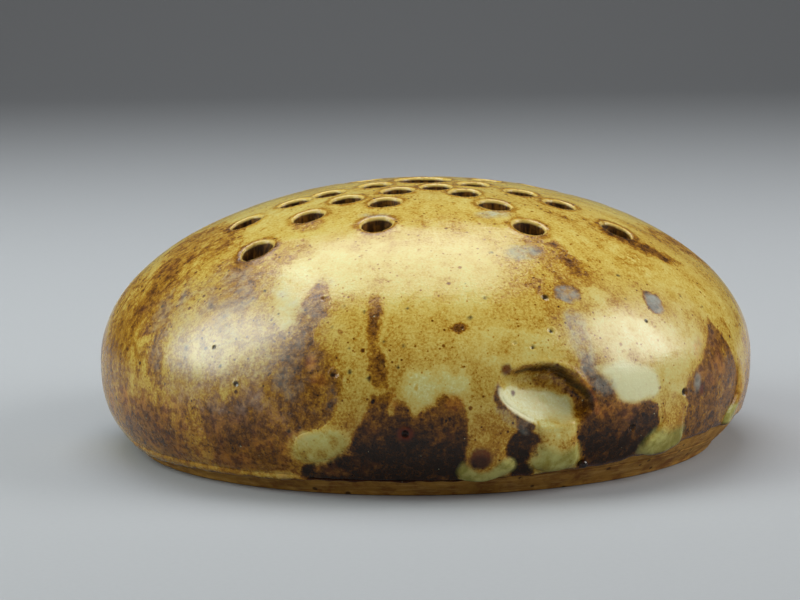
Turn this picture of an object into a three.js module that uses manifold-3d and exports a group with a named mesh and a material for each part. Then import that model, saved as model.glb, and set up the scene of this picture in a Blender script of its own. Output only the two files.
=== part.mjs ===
// Stoneware flower holder: a hollow pebble of thrown clay, pierced on top for flower stems,
// closed below by a foot disc and carrying thick runs of glaze.
// Millimetres, +Z up, origin at the middle of the underside, front of the vessel towards -Y.
// Azimuths are degrees seen from above, 0 at the front and growing towards +X.

import * as THREE from 'three';
import { mergeVertices } from 'three/addons/utils/BufferGeometryUtils.js';
import Module from 'manifold-3d';

const wasm = await Module();
wasm.setup();

// Body of revolution
const girthRadius = 75;
const girthHeight = 20;
const bodyHeight = 60;
const seamHeight = 4;
const seamTuck = 4.7;
const tuckFullness = 2.75;
const trimInset = 4;
const wallThickness = 5.5;
const floorThickness = 6;
const lutingGap = 0.3;
const plugClearance = 0.4;

// Holes on top, in rough rings round a larger one, each given by azimuth and rings out
const stemHoleDiameter = 6.8;
const centreHoleDiameter = 12.5;
const stemRingPitch = 12.4;
const frontStemHoles = [
  [-61, 1.01], [-66, 1.89], [-67, 2.55], [-66, 3.5],
  [-42, 2.07], [-43, 2.99], [-44, 4.2],
  [-21, 1.29], [-19, 2.11], [-15, 3.17],
  [13.5, 0.99], [27.5, 1.61], [31, 2.45], [32, 3.47],
  [60.5, 1.06], [63.5, 1.98], [62.5, 2.77], [61.5, 3.92],
];
const backSpokes = 4;
const backSpokeStart = 108;
const backSpokePitch = 43;
const backSpokeRings = [1.25, 2.26, 3.3];
const cutterOverrun = 3;

// Thumb dent in the wall
const dentAzimuth = 19.3;
const dentHeight = 22;
const dentLength = 22.5;
const dentWidth = 13.5;
const dentDepth = 3.6;
const dentTilt = -20;
const poolThickness = 1.1;
const poolDrop = 1.6;

// Glaze that stands proud of the wall
const glazeGap = 0.3;
const glazeEdge = 0.25;
const beadWidth = 10;
const beadThickness = 1.2;
const dropAzimuth = 26.7;
const dropHeight = 6.4;
const dropDiameter = 1.6;

// Facets
const bodySegments = 72;
const crownRings = 15;
const tuckRings = 5;
const cavitySegments = 48;
const cavityRings = 9;
const holeSides = 16;
const centreHoleSides = 24;
const dentSides = 28;
const dentRings = 12;
const runSteps = 12;
const runSides = 6;
const dropSides = 10;

const EXACT = 1e-4;

// Surface of the body

const seamRadius = girthRadius - seamTuck;
const footRadius = seamRadius - trimInset;
const wallRise = girthHeight - seamHeight;

const tuckDepth = wallRise
  / (1 - (seamRadius / girthRadius) ** tuckFullness) ** (1 / tuckFullness);

function outerRadius(height) {
  if (height >= girthHeight) {
    const rise = Math.min((height - girthHeight) / (bodyHeight - girthHeight), 1);
    return girthRadius * Math.sqrt(1 - rise ** 2);
  }
  if (height >= seamHeight) {
    const fall = (girthHeight - height) / tuckDepth;
    return girthRadius * (1 - fall ** tuckFullness) ** (1 / tuckFullness);
  }
  return THREE.MathUtils.lerp(footRadius, seamRadius, height / seamHeight);
}

function outerNormal(height) {
  const step = 0.05;
  const slope = (outerRadius(height + step) - outerRadius(height - step)) / (2 * step);
  return new THREE.Vector2(1, -slope).normalize();
}

function onSurface(azimuth, height, proud = 0) {
  const angle = THREE.MathUtils.degToRad(azimuth);
  const normal = outerNormal(height);
  const radius = outerRadius(height) + normal.x * proud;
  return new THREE.Vector3(
    radius * Math.sin(angle),
    -radius * Math.cos(angle),
    height + normal.y * proud,
  );
}

// Solids

function toManifold(geometry) {
  geometry.deleteAttribute('normal');
  geometry.deleteAttribute('uv');
  const merged = mergeVertices(geometry, EXACT);
  const corners = merged.index.array;
  const triangles = [];
  for (let i = 0; i < corners.length; i += 3) {
    const [a, b, c] = [corners[i], corners[i + 1], corners[i + 2]];
    if (a !== b && b !== c && c !== a) triangles.push(a, b, c);
  }
  return new wasm.Manifold(new wasm.Mesh({
    numProp: 3,
    vertProperties: new Float32Array(merged.attributes.position.array),
    triVerts: new Uint32Array(triangles),
  }));
}

function toGeometry(solid) {
  const mesh = solid.getMesh();
  const geometry = new THREE.BufferGeometry();
  geometry.setAttribute('position', new THREE.BufferAttribute(mesh.vertProperties, 3));
  geometry.setIndex(new THREE.BufferAttribute(mesh.triVerts, 1));
  geometry.computeVertexNormals();
  return geometry;
}

function turned(profile, segments) {
  const geometry = new THREE.LatheGeometry(profile, segments);
  geometry.rotateX(Math.PI / 2);
  return toManifold(geometry);
}

function upright(diameter, sides, bottom, top) {
  const geometry = new THREE.CylinderGeometry(diameter / 2, diameter / 2, top - bottom, sides);
  geometry.rotateX(Math.PI / 2);
  geometry.translate(0, 0, (top + bottom) / 2);
  return geometry;
}

// Body profiles, from the axis at the seam up to the axis at the crown

function bodyProfile() {
  const profile = [];
  for (let i = 0; i < tuckRings; i += 1) {
    const height = THREE.MathUtils.lerp(seamHeight, girthHeight, i / tuckRings);
    profile.push(new THREE.Vector2(outerRadius(height), height));
  }
  for (let i = 0; i < crownRings; i += 1) {
    const turn = (i / crownRings) * (Math.PI / 2);
    const height = girthHeight + (bodyHeight - girthHeight) * Math.sin(turn);
    profile.push(new THREE.Vector2(girthRadius * Math.cos(turn), height));
  }
  return profile;
}

function domeOutline() {
  const profile = bodyProfile();
  profile[0] = new THREE.Vector2(outerRadius(seamHeight + lutingGap), seamHeight + lutingGap);
  const foot = new THREE.Vector2(0, seamHeight + lutingGap);
  const crown = new THREE.Vector2(0, bodyHeight);
  return [foot, ...profile, crown];
}

function innerPoint(height) {
  const normal = outerNormal(height);
  const radius = outerRadius(height) - normal.x * wallThickness;
  return new THREE.Vector2(radius, height - normal.y * wallThickness);
}

const innerFootRadius = innerPoint(seamHeight + EXACT).x;

function cavityOutline() {
  const profile = [
    new THREE.Vector2(0, seamHeight - cutterOverrun),
    new THREE.Vector2(innerFootRadius, seamHeight - cutterOverrun),
    innerPoint(seamHeight + EXACT),
    innerPoint(THREE.MathUtils.lerp(seamHeight, girthHeight, 0.5)),
  ];
  for (let i = 0; i < cavityRings; i += 1) {
    const turn = (i / cavityRings) * (Math.PI / 2);
    profile.push(innerPoint(girthHeight + (bodyHeight - girthHeight) * Math.sin(turn)));
  }
  profile.push(new THREE.Vector2(0, bodyHeight - wallThickness));
  return profile;
}

// Thumb dent, an ellipsoid laid on the wall with its long axis tilted

function dentEllipsoid(growth, outward = 0, upward = 0) {
  const geometry = new THREE.SphereGeometry(1, dentSides, dentRings);
  geometry.scale(dentLength / 2 + growth, dentWidth / 2 + growth, dentDepth + growth);
  const normal = outerNormal(dentHeight);
  const angle = THREE.MathUtils.degToRad(dentAzimuth);
  const across = new THREE.Vector3(Math.cos(angle), Math.sin(angle), 0);
  const out = new THREE.Vector3(
    normal.x * Math.sin(angle),
    -normal.x * Math.cos(angle),
    normal.y,
  );
  const up = new THREE.Vector3().crossVectors(out, across);
  const tilt = THREE.MathUtils.degToRad(dentTilt);
  geometry.rotateZ(tilt);
  const frame = new THREE.Matrix4().makeBasis(across, up, out);
  const centre = onSurface(dentAzimuth, dentHeight, outward).addScaledVector(up, upward);
  geometry.applyMatrix4(frame.setPosition(centre));
  return toManifold(geometry);
}

// Stem holes, all upright so that a stem stands straight

function holePlaces() {
  const places = [...frontStemHoles];
  for (let spoke = 0; spoke < backSpokes; spoke += 1) {
    for (const rings of backSpokeRings) {
      places.push([backSpokeStart + spoke * backSpokePitch, rings]);
    }
  }
  return places;
}

function holeCutter(azimuth, rings) {
  const angle = THREE.MathUtils.degToRad(azimuth);
  const radius = rings * stemRingPitch;
  const cutter = upright(stemHoleDiameter, holeSides, girthHeight, bodyHeight + cutterOverrun);
  cutter.translate(radius * Math.sin(angle), -radius * Math.cos(angle), 0);
  return toManifold(cutter);
}

// Pierced dome

const outerBody = turned(domeOutline(), bodySegments);

function piercedDome() {
  const dentBoss = dentEllipsoid(wallThickness);
  const cavity = turned(cavityOutline(), cavitySegments).subtract(dentBoss);
  let dome = outerBody.subtract(dentEllipsoid(0)).subtract(cavity);
  const centre = upright(
    centreHoleDiameter,
    centreHoleSides,
    girthHeight,
    bodyHeight + cutterOverrun,
  );
  dome = dome.subtract(toManifold(centre));
  for (const [azimuth, rings] of holePlaces()) {
    dome = dome.subtract(holeCutter(azimuth, rings));
  }
  return toGeometry(dome);
}

// Foot disc with its trimmed band and the plug that fills the mouth of the dome

function footDisc() {
  const plugRadius = innerFootRadius - plugClearance;
  const profile = [
    new THREE.Vector2(0, 0),
    new THREE.Vector2(footRadius, 0),
    new THREE.Vector2(seamRadius, seamHeight),
    new THREE.Vector2(plugRadius, seamHeight),
    new THREE.Vector2(plugRadius, floorThickness),
    new THREE.Vector2(0, floorThickness),
  ];
  return toGeometry(turned(profile, bodySegments));
}

// Glaze run: a lens of glass laid on the wall along its stops. A stop has an azimuth, a height as
// a share of the way from seam to girth, and a width and a thickness as shares of a full bead's.

function runStops(stops) {
  const places = stops.map(([azimuth, rise]) => (
    new THREE.Vector3(azimuth, seamHeight + rise * wallRise, 0)
  ));
  const bulks = stops.map(([, , width, thickness]) => (
    new THREE.Vector3(width * beadWidth, thickness * beadThickness, 0)
  ));
  const line = new THREE.CatmullRomCurve3(places, false, 'centripetal');
  const bulk = new THREE.CatmullRomCurve3(bulks, false, 'catmullrom');
  const stations = [];
  for (let i = 0; i <= runSteps; i += 1) {
    const place = line.getPoint(i / runSteps);
    const size = bulk.getPoint(i / runSteps);
    const heading = line.getTangent(i / runSteps);
    stations.push({ place, size, heading });
  }
  return stations;
}

function runRing({ place, size, heading }) {
  const perDegree = THREE.MathUtils.degToRad(1) * outerRadius(place.y);
  const along = new THREE.Vector2(heading.x * perDegree, heading.y).normalize();
  const ring = [];
  const put = (share, proud) => {
    const aside = (share * size.x) / 2;
    const azimuth = place.x - (aside * along.y) / perDegree;
    const height = place.y + aside * along.x;
    ring.push(onSurface(azimuth, height, proud));
  };
  for (let i = 0; i <= runSides; i += 1) {
    const share = -Math.cos((i / runSides) * Math.PI);
    put(share, glazeGap + glazeEdge + size.y * Math.sqrt(Math.max(1 - share ** 2, 0)));
  }
  for (let i = runSides; i >= 0; i -= 1) {
    put(-Math.cos((i / runSides) * Math.PI), glazeGap);
  }
  return ring;
}

function glazeRun(stops) {
  const rings = runStops(stops).map(runRing);
  const count = rings[0].length;
  const corners = rings.flat().flatMap((point) => [point.x, point.y, point.z]);
  const triangles = [];
  for (let i = 0; i < rings.length - 1; i += 1) {
    for (let j = 0; j < count; j += 1) {
      const a = i * count + j;
      const b = i * count + ((j + 1) % count);
      triangles.push(a, b + count, b, a, a + count, b + count);
    }
  }
  const last = (rings.length - 1) * count;
  for (let j = 1; j < count - 1; j += 1) {
    triangles.push(0, j, j + 1, last, last + j + 1, last + j);
  }
  const geometry = new THREE.BufferGeometry();
  geometry.setAttribute('position', new THREE.Float32BufferAttribute(corners, 3));
  geometry.setIndex(triangles);
  geometry.computeVertexNormals();
  return geometry;
}

// Pool of glaze held in the lower part of the dent

function dentPool() {
  const filling = dentEllipsoid(-glazeGap).intersect(outerBody);
  const hollow = dentEllipsoid(0, poolThickness, poolDrop);
  return toGeometry(filling.subtract(hollow));
}

function glazeDrop() {
  const geometry = new THREE.SphereGeometry(dropDiameter / 2, dropSides, dropSides);
  const centre = onSurface(dropAzimuth, dropHeight, glazeGap + dropDiameter / 2);
  geometry.translate(centre.x, centre.y, centre.z);
  return toGeometry(toManifold(geometry));
}

// Finishes

const finishes = {
  glazedStoneware: { color: 0xa5762f, roughness: 0.34, metalness: 0 },
  bareClay: { color: 0x8a5326, roughness: 0.82, metalness: 0 },
  celadonGlaze: { color: 0xa3a06a, roughness: 0.22, metalness: 0 },
  honeyGlaze: { color: 0xb58a35, roughness: 0.25, metalness: 0 },
  blackGlaze: { color: 0x1c1712, roughness: 0.12, metalness: 0 },
};

const flowerHolder = new THREE.Group();

function place(name, geometry, finish) {
  const mesh = new THREE.Mesh(geometry, new THREE.MeshStandardMaterial(finishes[finish]));
  mesh.name = name;
  flowerHolder.add(mesh);
}

// Runs, each as stops from its head to its foot

const dentLip = (dentHeight - dentWidth / 2 - seamHeight) / wallRise;

const celadonRuns = {
  glaze_run_front: [
    [9.4, 0.84, 0.5, 0.1], [9.9, 0.6, 0.85, 0.35], [9.8, 0.34, 0.9, 0.6], [9.8, 0.19, 1.26, 1],
    [9.9, 0.08, 0.8, 0.65],
  ],
  glaze_run_dent: [
    [dentAzimuth + 2.3, dentLip * 0.91, 0.7, 0.15], [dentAzimuth + 2.1, dentLip * 0.67, 0.86, 0.4],
    [dentAzimuth + 2.1, dentLip * 0.44, 0.92, 0.65], [dentAzimuth + 2, dentLip * 0.27, 1.06, 1],
    [dentAzimuth + 1.8, dentLip * 0.13, 0.7, 0.65],
  ],
  glaze_run_right: [
    [40.5, 1.06, 0.5, 0.1], [43.6, 0.81, 0.6, 0.25], [45.2, 0.56, 0.55, 0.4],
    [44.3, 0.35, 0.8, 0.9], [42.4, 0.2, 0.9, 1.1], [41, 0.12, 0.5, 0.65],
  ],
  glaze_run_far_right: [
    [76, 1.44, 0.3, 0.1], [74.3, 1, 0.4, 0.35], [71.4, 0.62, 0.45, 0.6], [67.6, 0.37, 0.5, 0.85],
    [65.6, 0.26, 0.36, 0.6],
  ],
  glaze_run_back_left: [
    [-118, 1.25, 0.5, 0.1], [-119, 0.87, 0.7, 0.35], [-118, 0.5, 0.75, 0.6], [-117, 0.27, 1, 1],
    [-117, 0.14, 0.6, 0.65],
  ],
  glaze_run_back: [
    [170, 1.12, 0.6, 0.1], [171, 0.81, 0.8, 0.35], [170, 0.5, 0.8, 0.6], [170, 0.29, 1.05, 1],
    [170, 0.15, 0.6, 0.65],
  ],
  glaze_run_back_right: [
    [124, 1.37, 0.4, 0.1], [123, 0.94, 0.6, 0.35], [121, 0.56, 0.65, 0.6], [120, 0.34, 0.9, 0.9],
    [120, 0.21, 0.5, 0.6],
  ],
};

const honeyRuns = {
  glaze_run_left: [
    [-12.2, 1.56, 0.5, 0.1], [-10.9, 1.16, 0.74, 0.25], [-12.6, 0.81, 0.78, 0.4],
    [-16, 0.52, 0.8, 0.65], [-19.4, 0.37, 0.6, 0.4],
  ],
  glaze_roll_left: [
    [-62, -0.1, 0.12, 0.25], [-50, -0.07, 0.18, 0.4], [-38, -0.05, 0.2, 0.5],
    [-29, -0.02, 0.2, 0.5], [-22, 0.01, 0.12, 0.25],
  ],
};

place('pierced_dome', piercedDome(), 'glazedStoneware');
place('foot_disc', footDisc(), 'bareClay');
for (const [name, stops] of Object.entries(celadonRuns)) {
  place(name, glazeRun(stops), 'celadonGlaze');
}
for (const [name, stops] of Object.entries(honeyRuns)) {
  place(name, glazeRun(stops), 'honeyGlaze');
}
place('glaze_pool_dent', dentPool(), 'celadonGlaze');
place('glaze_drop_black', glazeDrop(), 'blackGlaze');

export default flowerHolder;
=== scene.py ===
"""Stoneware flower holder: a thrown, pierced dome luted to a clay disc, with thick runs of glaze.

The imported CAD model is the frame. Classes hold millimetres and turn them into metres when a mesh
is placed. Azimuths are degrees seen from above, 0 at the front (-Y) and growing towards +X.
"""

import logging
import math
from dataclasses import dataclass, field, replace
from enum import Enum
from typing import Callable, Sequence

import bpy
import numpy as np
from mathutils import Matrix, Vector


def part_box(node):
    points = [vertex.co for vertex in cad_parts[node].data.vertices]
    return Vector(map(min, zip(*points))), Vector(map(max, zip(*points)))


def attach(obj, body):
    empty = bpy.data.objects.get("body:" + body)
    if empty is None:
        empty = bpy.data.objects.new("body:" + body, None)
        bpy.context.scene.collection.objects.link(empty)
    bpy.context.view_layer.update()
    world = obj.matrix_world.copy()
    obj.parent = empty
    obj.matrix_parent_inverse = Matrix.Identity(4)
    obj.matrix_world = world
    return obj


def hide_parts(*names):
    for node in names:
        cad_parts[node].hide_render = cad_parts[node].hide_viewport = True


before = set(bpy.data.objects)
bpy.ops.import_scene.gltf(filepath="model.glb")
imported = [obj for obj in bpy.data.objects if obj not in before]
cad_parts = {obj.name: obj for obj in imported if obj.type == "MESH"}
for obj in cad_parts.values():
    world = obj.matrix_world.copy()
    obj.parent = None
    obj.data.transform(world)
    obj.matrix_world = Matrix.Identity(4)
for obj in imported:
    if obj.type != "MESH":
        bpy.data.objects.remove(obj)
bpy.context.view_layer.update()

log = logging.getLogger("flower_holder")

MM = 0.001
FAR_AWAY = 1e9
TINY = 1e-6
Array = np.ndarray
Piece = bpy.types.Object
Socket = bpy.types.NodeSocket
Tree = bpy.types.NodeTree
Material = bpy.types.Material
Place = tuple[float, float]
Colour = tuple[float, float, float, float]


def tone(red: int, green: int, blue: int) -> Colour:
    """Returns the linear colour of a tone given on the usual scale of 0 to 255."""
    shares = [value / 255 for value in (red, green, blue)]
    linear = [s / 12.92 if s <= 0.04045 else ((s + 0.055) / 1.055) ** 2.4 for s in shares]
    return (*linear, 1.0)


def box_mm(node: str) -> tuple[Array, Array]:
    """Returns the lowest and highest corner of a CAD node in millimetres."""
    low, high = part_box(node)
    return np.array(low) / MM, np.array(high) / MM


def azimuth_of(points: Array) -> Array:
    """Returns the azimuth of each point."""
    return np.degrees(np.arctan2(points[:, 0], -points[:, 1]))


def swell(offset: Array, width: float) -> Array:
    """Returns a round swelling, 1 where the offset is nil and dying away over the width."""
    return np.exp(-((offset / width) ** 2))


def ease(value: Array, low: float, high: float) -> Array:
    """Returns 0 below low and 1 above high, with a smooth step between."""
    share = np.clip((value - low) / (high - low), 0, 1)
    return share * share * (3 - 2 * share)


def soft_max(
    first: Array,
    first_slope: Array,
    second: Array,
    second_slope: Array,
    width: float | Array,
) -> tuple[Array, Array]:
    """Joins two distance fields into one whose edge is rounded.

    Args:
        first: Signed distances to the first surface, positive outside.
        first_slope: Gradients of the first field, one row each.
        second: Signed distances to the second surface.
        second_slope: Gradients of the second field.
        width: How wide the rounding is, in millimetres.

    Returns:
        The joined distances and their gradients.
    """
    lean = np.clip(0.5 + (first - second) / (2 * width), 0, 1)
    over = np.clip(width - np.abs(first - second), 0, None)
    joined = np.maximum(first, second) + over**2 / (4 * width)
    slope = lean[:, None] * first_slope + (1 - lean[:, None]) * second_slope
    return joined, slope


@dataclass(frozen=True)
class Ripple:
    """A smooth random field, the sum of a few waves in seeded directions."""

    wavelength: float
    seed: int
    waves: int = 14

    def at(self, points: Array) -> Array:
        """Returns the field at each point, mostly between -1 and 1.

        Args:
            points: Points in millimetres, one row each.

        Returns:
            One value for each point.
        """
        draw = np.random.default_rng(self.seed)
        ways = draw.normal(size=(self.waves, 3))
        ways /= np.linalg.norm(ways, axis=1)[:, None]
        lengths = self.wavelength * draw.uniform(0.7, 1.5, self.waves)
        phases = draw.uniform(0, 2 * math.pi, self.waves)
        turns = points @ (ways * (2 * math.pi / lengths)[:, None]).T + phases
        return np.sin(turns).sum(1) / math.sqrt(self.waves)


@dataclass
class BodyForm:
    """Outside of the turned body: a half ellipse over a tucked wall and a trimmed foot band."""

    girth_radius: float
    girth_height: float
    top_height: float
    seam_radius: float
    seam_height: float
    foot_radius: float
    tuck_fullness: float = 2.75
    stations: int = 1200
    step: float = field(init=False)
    radii: Array = field(init=False)
    heights: Array = field(init=False)
    out_r: Array = field(init=False)
    out_z: Array = field(init=False)

    def __post_init__(self) -> None:
        """Tabulates the profile at even steps along its length, from foot to apex."""
        fullness = self.tuck_fullness
        closing = 1 - (self.seam_radius / self.girth_radius) ** fullness
        depth = (self.girth_height - self.seam_height) / closing ** (1 / fullness)
        wall_z = np.linspace(self.seam_height, self.girth_height, 600)
        fall = (self.girth_height - wall_z) / depth
        wall_r = self.girth_radius * (1 - fall**fullness) ** (1 / fullness)
        rise = np.linspace(0, math.pi / 2, 3000)[1:]
        crown_r = self.girth_radius * np.cos(rise)
        crown_z = self.girth_height + (self.top_height - self.girth_height) * np.sin(rise)
        band = np.linspace(0, 1, 60)[:-1]
        band_r = self.foot_radius + (self.seam_radius - self.foot_radius) * band
        r = np.concatenate([band_r, wall_r, crown_r])
        z = np.concatenate([band * self.seam_height, wall_z, crown_z])
        length = np.concatenate([[0], np.cumsum(np.hypot(np.diff(r), np.diff(z)))])
        even = np.linspace(0, length[-1], self.stations)
        self.step = even[1]
        self.radii = np.interp(even, length, r)
        self.heights = np.interp(even, length, z)
        along_r, along_z = np.gradient(self.radii), np.gradient(self.heights)
        size = np.hypot(along_r, along_z)
        self.out_r, self.out_z = along_z / size, -along_r / size

    def _row(self, table: Array, station: Array) -> Array:
        """Reads one table at stations given in millimetres from the foot."""
        return np.interp(station / self.step, np.arange(self.stations), table)

    def station_at(self, height: Array | float) -> Array:
        """Returns how far up the profile a height lies."""
        return np.interp(height, self.heights, np.arange(self.stations) * self.step)

    def station_towards(self, aside: Array, height: Array) -> Array:
        """Returns the station seen from the girth's middle towards each place."""
        bearings = np.arctan2(self.heights - self.girth_height, self.radii)
        bearing = np.arctan2(height - self.girth_height, aside)
        return np.interp(bearing, bearings, np.arange(self.stations) * self.step)

    def across(self, degrees: Array) -> Array:
        """Returns how long a turn of some degrees is along the girth."""
        return np.radians(degrees) * self.girth_radius

    def surface(self, azimuth: Array, station: Array, proud: Array | float = 0.0) -> Array:
        """Returns points on the form, or proud of it along its normal.

        Args:
            azimuth: Azimuths in degrees.
            station: Stations in millimetres.
            proud: How far to stand out, in millimetres.

        Returns:
            Points, one row each.
        """
        angle = np.radians(azimuth)
        r = self._row(self.radii, station) + self._row(self.out_r, station) * proud
        z = self._row(self.heights, station) + self._row(self.out_z, station) * proud
        return np.stack([r * np.sin(angle), -r * np.cos(angle), z], 1)

    def locate(self, points: Array) -> tuple[Array, Array, Array, Array]:
        """Finds the place of the form that each point is nearest to.

        Args:
            points: Points near the form, one row each.

        Returns:
            Azimuths, stations, distances outside the form, and outward normals.
        """
        r = np.hypot(points[:, 0], points[:, 1])
        z = points[:, 2]
        station = self.station_towards(r, z)
        last = (self.stations - 1) * self.step
        for _ in range(4):
            off_r = r - self._row(self.radii, station)
            off_z = z - self._row(self.heights, station)
            along = off_z * self._row(self.out_r, station) - off_r * self._row(self.out_z, station)
            station = np.clip(station + 0.8 * along, 0, last)
        off_r = r - self._row(self.radii, station)
        off_z = z - self._row(self.heights, station)
        out_r, out_z = self._row(self.out_r, station), self._row(self.out_z, station)
        outside = off_r * out_r + off_z * out_z
        safe = np.maximum(r, TINY)
        normal = np.stack([points[:, 0] / safe * out_r, points[:, 1] / safe * out_r, out_z], 1)
        return azimuth_of(points), station, outside, normal


@dataclass(frozen=True)
class StemHole:
    """An upright hole for a stem, at an azimuth and a distance from the axis."""

    azimuth: float
    distance: float
    radius: float
    seed: int = 0

    @property
    def centre(self) -> Array:
        """The hole's place seen from above."""
        angle = math.radians(self.azimuth)
        return np.array([math.sin(angle), -math.cos(angle)]) * self.distance

    def wall(self, bearing: Array) -> Array:
        """Returns the radius towards each bearing, a little uneven as cut by hand.

        Args:
            bearing: Bearings from the hole's centre, in radians.

        Returns:
            Millimetres.
        """
        draw = np.random.default_rng(700 + self.seed)
        total = np.full(bearing.shape, self.radius)
        for lobes, size in ((2, 0.09), (3, 0.05), (5, 0.03)):
            total += size * draw.normal() * np.cos(lobes * bearing + draw.uniform(0, 6.28))
        return total


@dataclass(frozen=True)
class ThumbDent:
    """The dent that a thumb pressed into the soft wall: steep above, easy below on the left."""

    azimuth: float
    height: float
    depth: float
    reach: tuple[Place, ...]
    steep_towards: float = 42.0
    steepness: float = 9.0
    easiness: float = 2.1
    lip: float = 0.14

    def _polar(
        self, form: BodyForm, azimuth: Array, station: Array
    ) -> tuple[Array, Array, Array, Array]:
        """Returns offsets aside and above, the share of the way to the edge, and the lean.

        Args:
            form: The turned form.
            azimuth: Azimuths in degrees.
            station: Stations in millimetres.

        Returns:
            The four values for each place.
        """
        aside = form.across(azimuth - self.azimuth)
        above = station - form.station_at(self.height)
        bearing = np.degrees(np.arctan2(above, aside)) % 360
        bearings, reaches = np.array(self.reach, float).T
        reach = np.interp(bearing, bearings, reaches, period=360)
        lean = 0.5 + 0.5 * np.cos(np.radians(bearing - self.steep_towards))
        return aside, above, np.hypot(aside, above) / reach, lean

    def steep_edge(self, form: BodyForm, azimuth: Array, station: Array) -> Array:
        """Returns the distance inside the dent's dark steep edge: dark glaze and painted shade."""
        _, _, share, lean = self._polar(form, azimuth, station)
        width = 0.09 * lean
        return (width - np.abs(share - 0.97 + width)) * 8 - 3 * (lean < 0.35)

    def press(self, form: BodyForm, azimuth: Array, station: Array) -> Array:
        """Returns how far the surface stands out from the form, negative in the dent.

        Args:
            form: The turned form.
            azimuth: Azimuths in degrees.
            station: Stations in millimetres.

        Returns:
            Millimetres.
        """
        aside, above, share, lean = self._polar(form, azimuth, station)
        power = self.easiness + (self.steepness - self.easiness) * lean**1.5
        inside = np.clip(share, 0, 1)
        floor_tilt = 1 + 0.2 * aside / 10 + 0.15 * above / 6
        hollow = self.depth * (1 - inside**power) * np.clip(floor_tilt, 0.6, 1.25)
        ridge = self.lip * lean * swell(share - 1.06, 0.09)
        return ridge - hollow


@dataclass(frozen=True)
class GlazeLine:
    """The uneven line at the foot where the glaze was wiped off the clay."""

    turns: tuple[Place, ...]
    waver: float = 0.22

    def height(self, azimuth: Array) -> Array:
        """Returns the height of the line at each azimuth.

        Args:
            azimuth: Azimuths in degrees.

        Returns:
            Millimetres.
        """
        azimuths, heights = np.array(self.turns, float).T
        around = np.arange(-180, 180, 1.0)
        level = np.interp(around, azimuths, heights, period=360)
        kernel = np.hanning(9)
        wide = np.concatenate([level[-8:], level, level[:8]])
        smooth = np.convolve(wide, kernel / kernel.sum(), mode="same")[8:-8]
        line = np.interp(azimuth, around, smooth, period=360)
        angle = np.radians(azimuth)
        for lobes, phase in ((31, 0.4), (47, 2.1), (83, 4.0)):
            line = line + self.waver * 0.5 * np.sin(lobes * angle + phase)
        return line


class Tint(Enum):
    """What shows on the surface over the amber glaze, each carried by an attribute.

    The two numbers, in millimetres, say how far a noise moves the edge of its patches, and how
    far the edge fades to each side.
    """

    DEEP = ("deep", 7.0, 1.3)
    STRAW = ("straw", 6.0, 1.4)
    BROWN = ("brown", 6.0, 1.0)
    IRON = ("iron", 4.0, 0.7)
    HONEY = ("honey", 3.0, 0.8)
    PALE = ("pale", 4.0, 1.2)
    CELADON = ("celadon", 1.6, 0.7)
    RUST = ("rust", 5.0, 1.0)
    BLOOM = ("bloom", 3.0, 1.0)
    EMBER = ("ember", 1.6, 0.7)
    SOOT = ("soot", 1.0, 0.6)
    CREAM = ("cream", 1.4, 0.8)
    LUSTRE = ("lustre", 5.0, 2.4)

    def __init__(self, attribute: str, wander: float, fade: float) -> None:
        """Names the attribute and the two numbers."""
        self.attribute = attribute
        self.wander = wander
        self.fade = fade


def closed_curve(points: Array, per_span: int = 5) -> Array:
    """Returns a smooth closed line through points, with per_span steps for each.

    Args:
        points: Corners of the line, one row each.
        per_span: Steps from one corner to the next.

    Returns:
        Points of the line, one row each.
    """
    before, after, next_after = (np.roll(points, n, axis=0) for n in (1, -1, -2))
    rows = []
    for share in np.arange(per_span) / per_span:
        s2, s3 = share**2, share**3
        rows.append(
            0.5
            * (
                2 * points
                + (after - before) * share
                + (2 * before - 5 * points + 4 * after - next_after) * s2
                + (3 * points - before - 3 * after + next_after) * s3
            )
        )
    return np.stack(rows, 1).reshape(-1, points.shape[1])


OUTSIDE = -30.0
PATCH_MARGIN = 8.0
LEAST_MM_PER_DEGREE = 0.9


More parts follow.
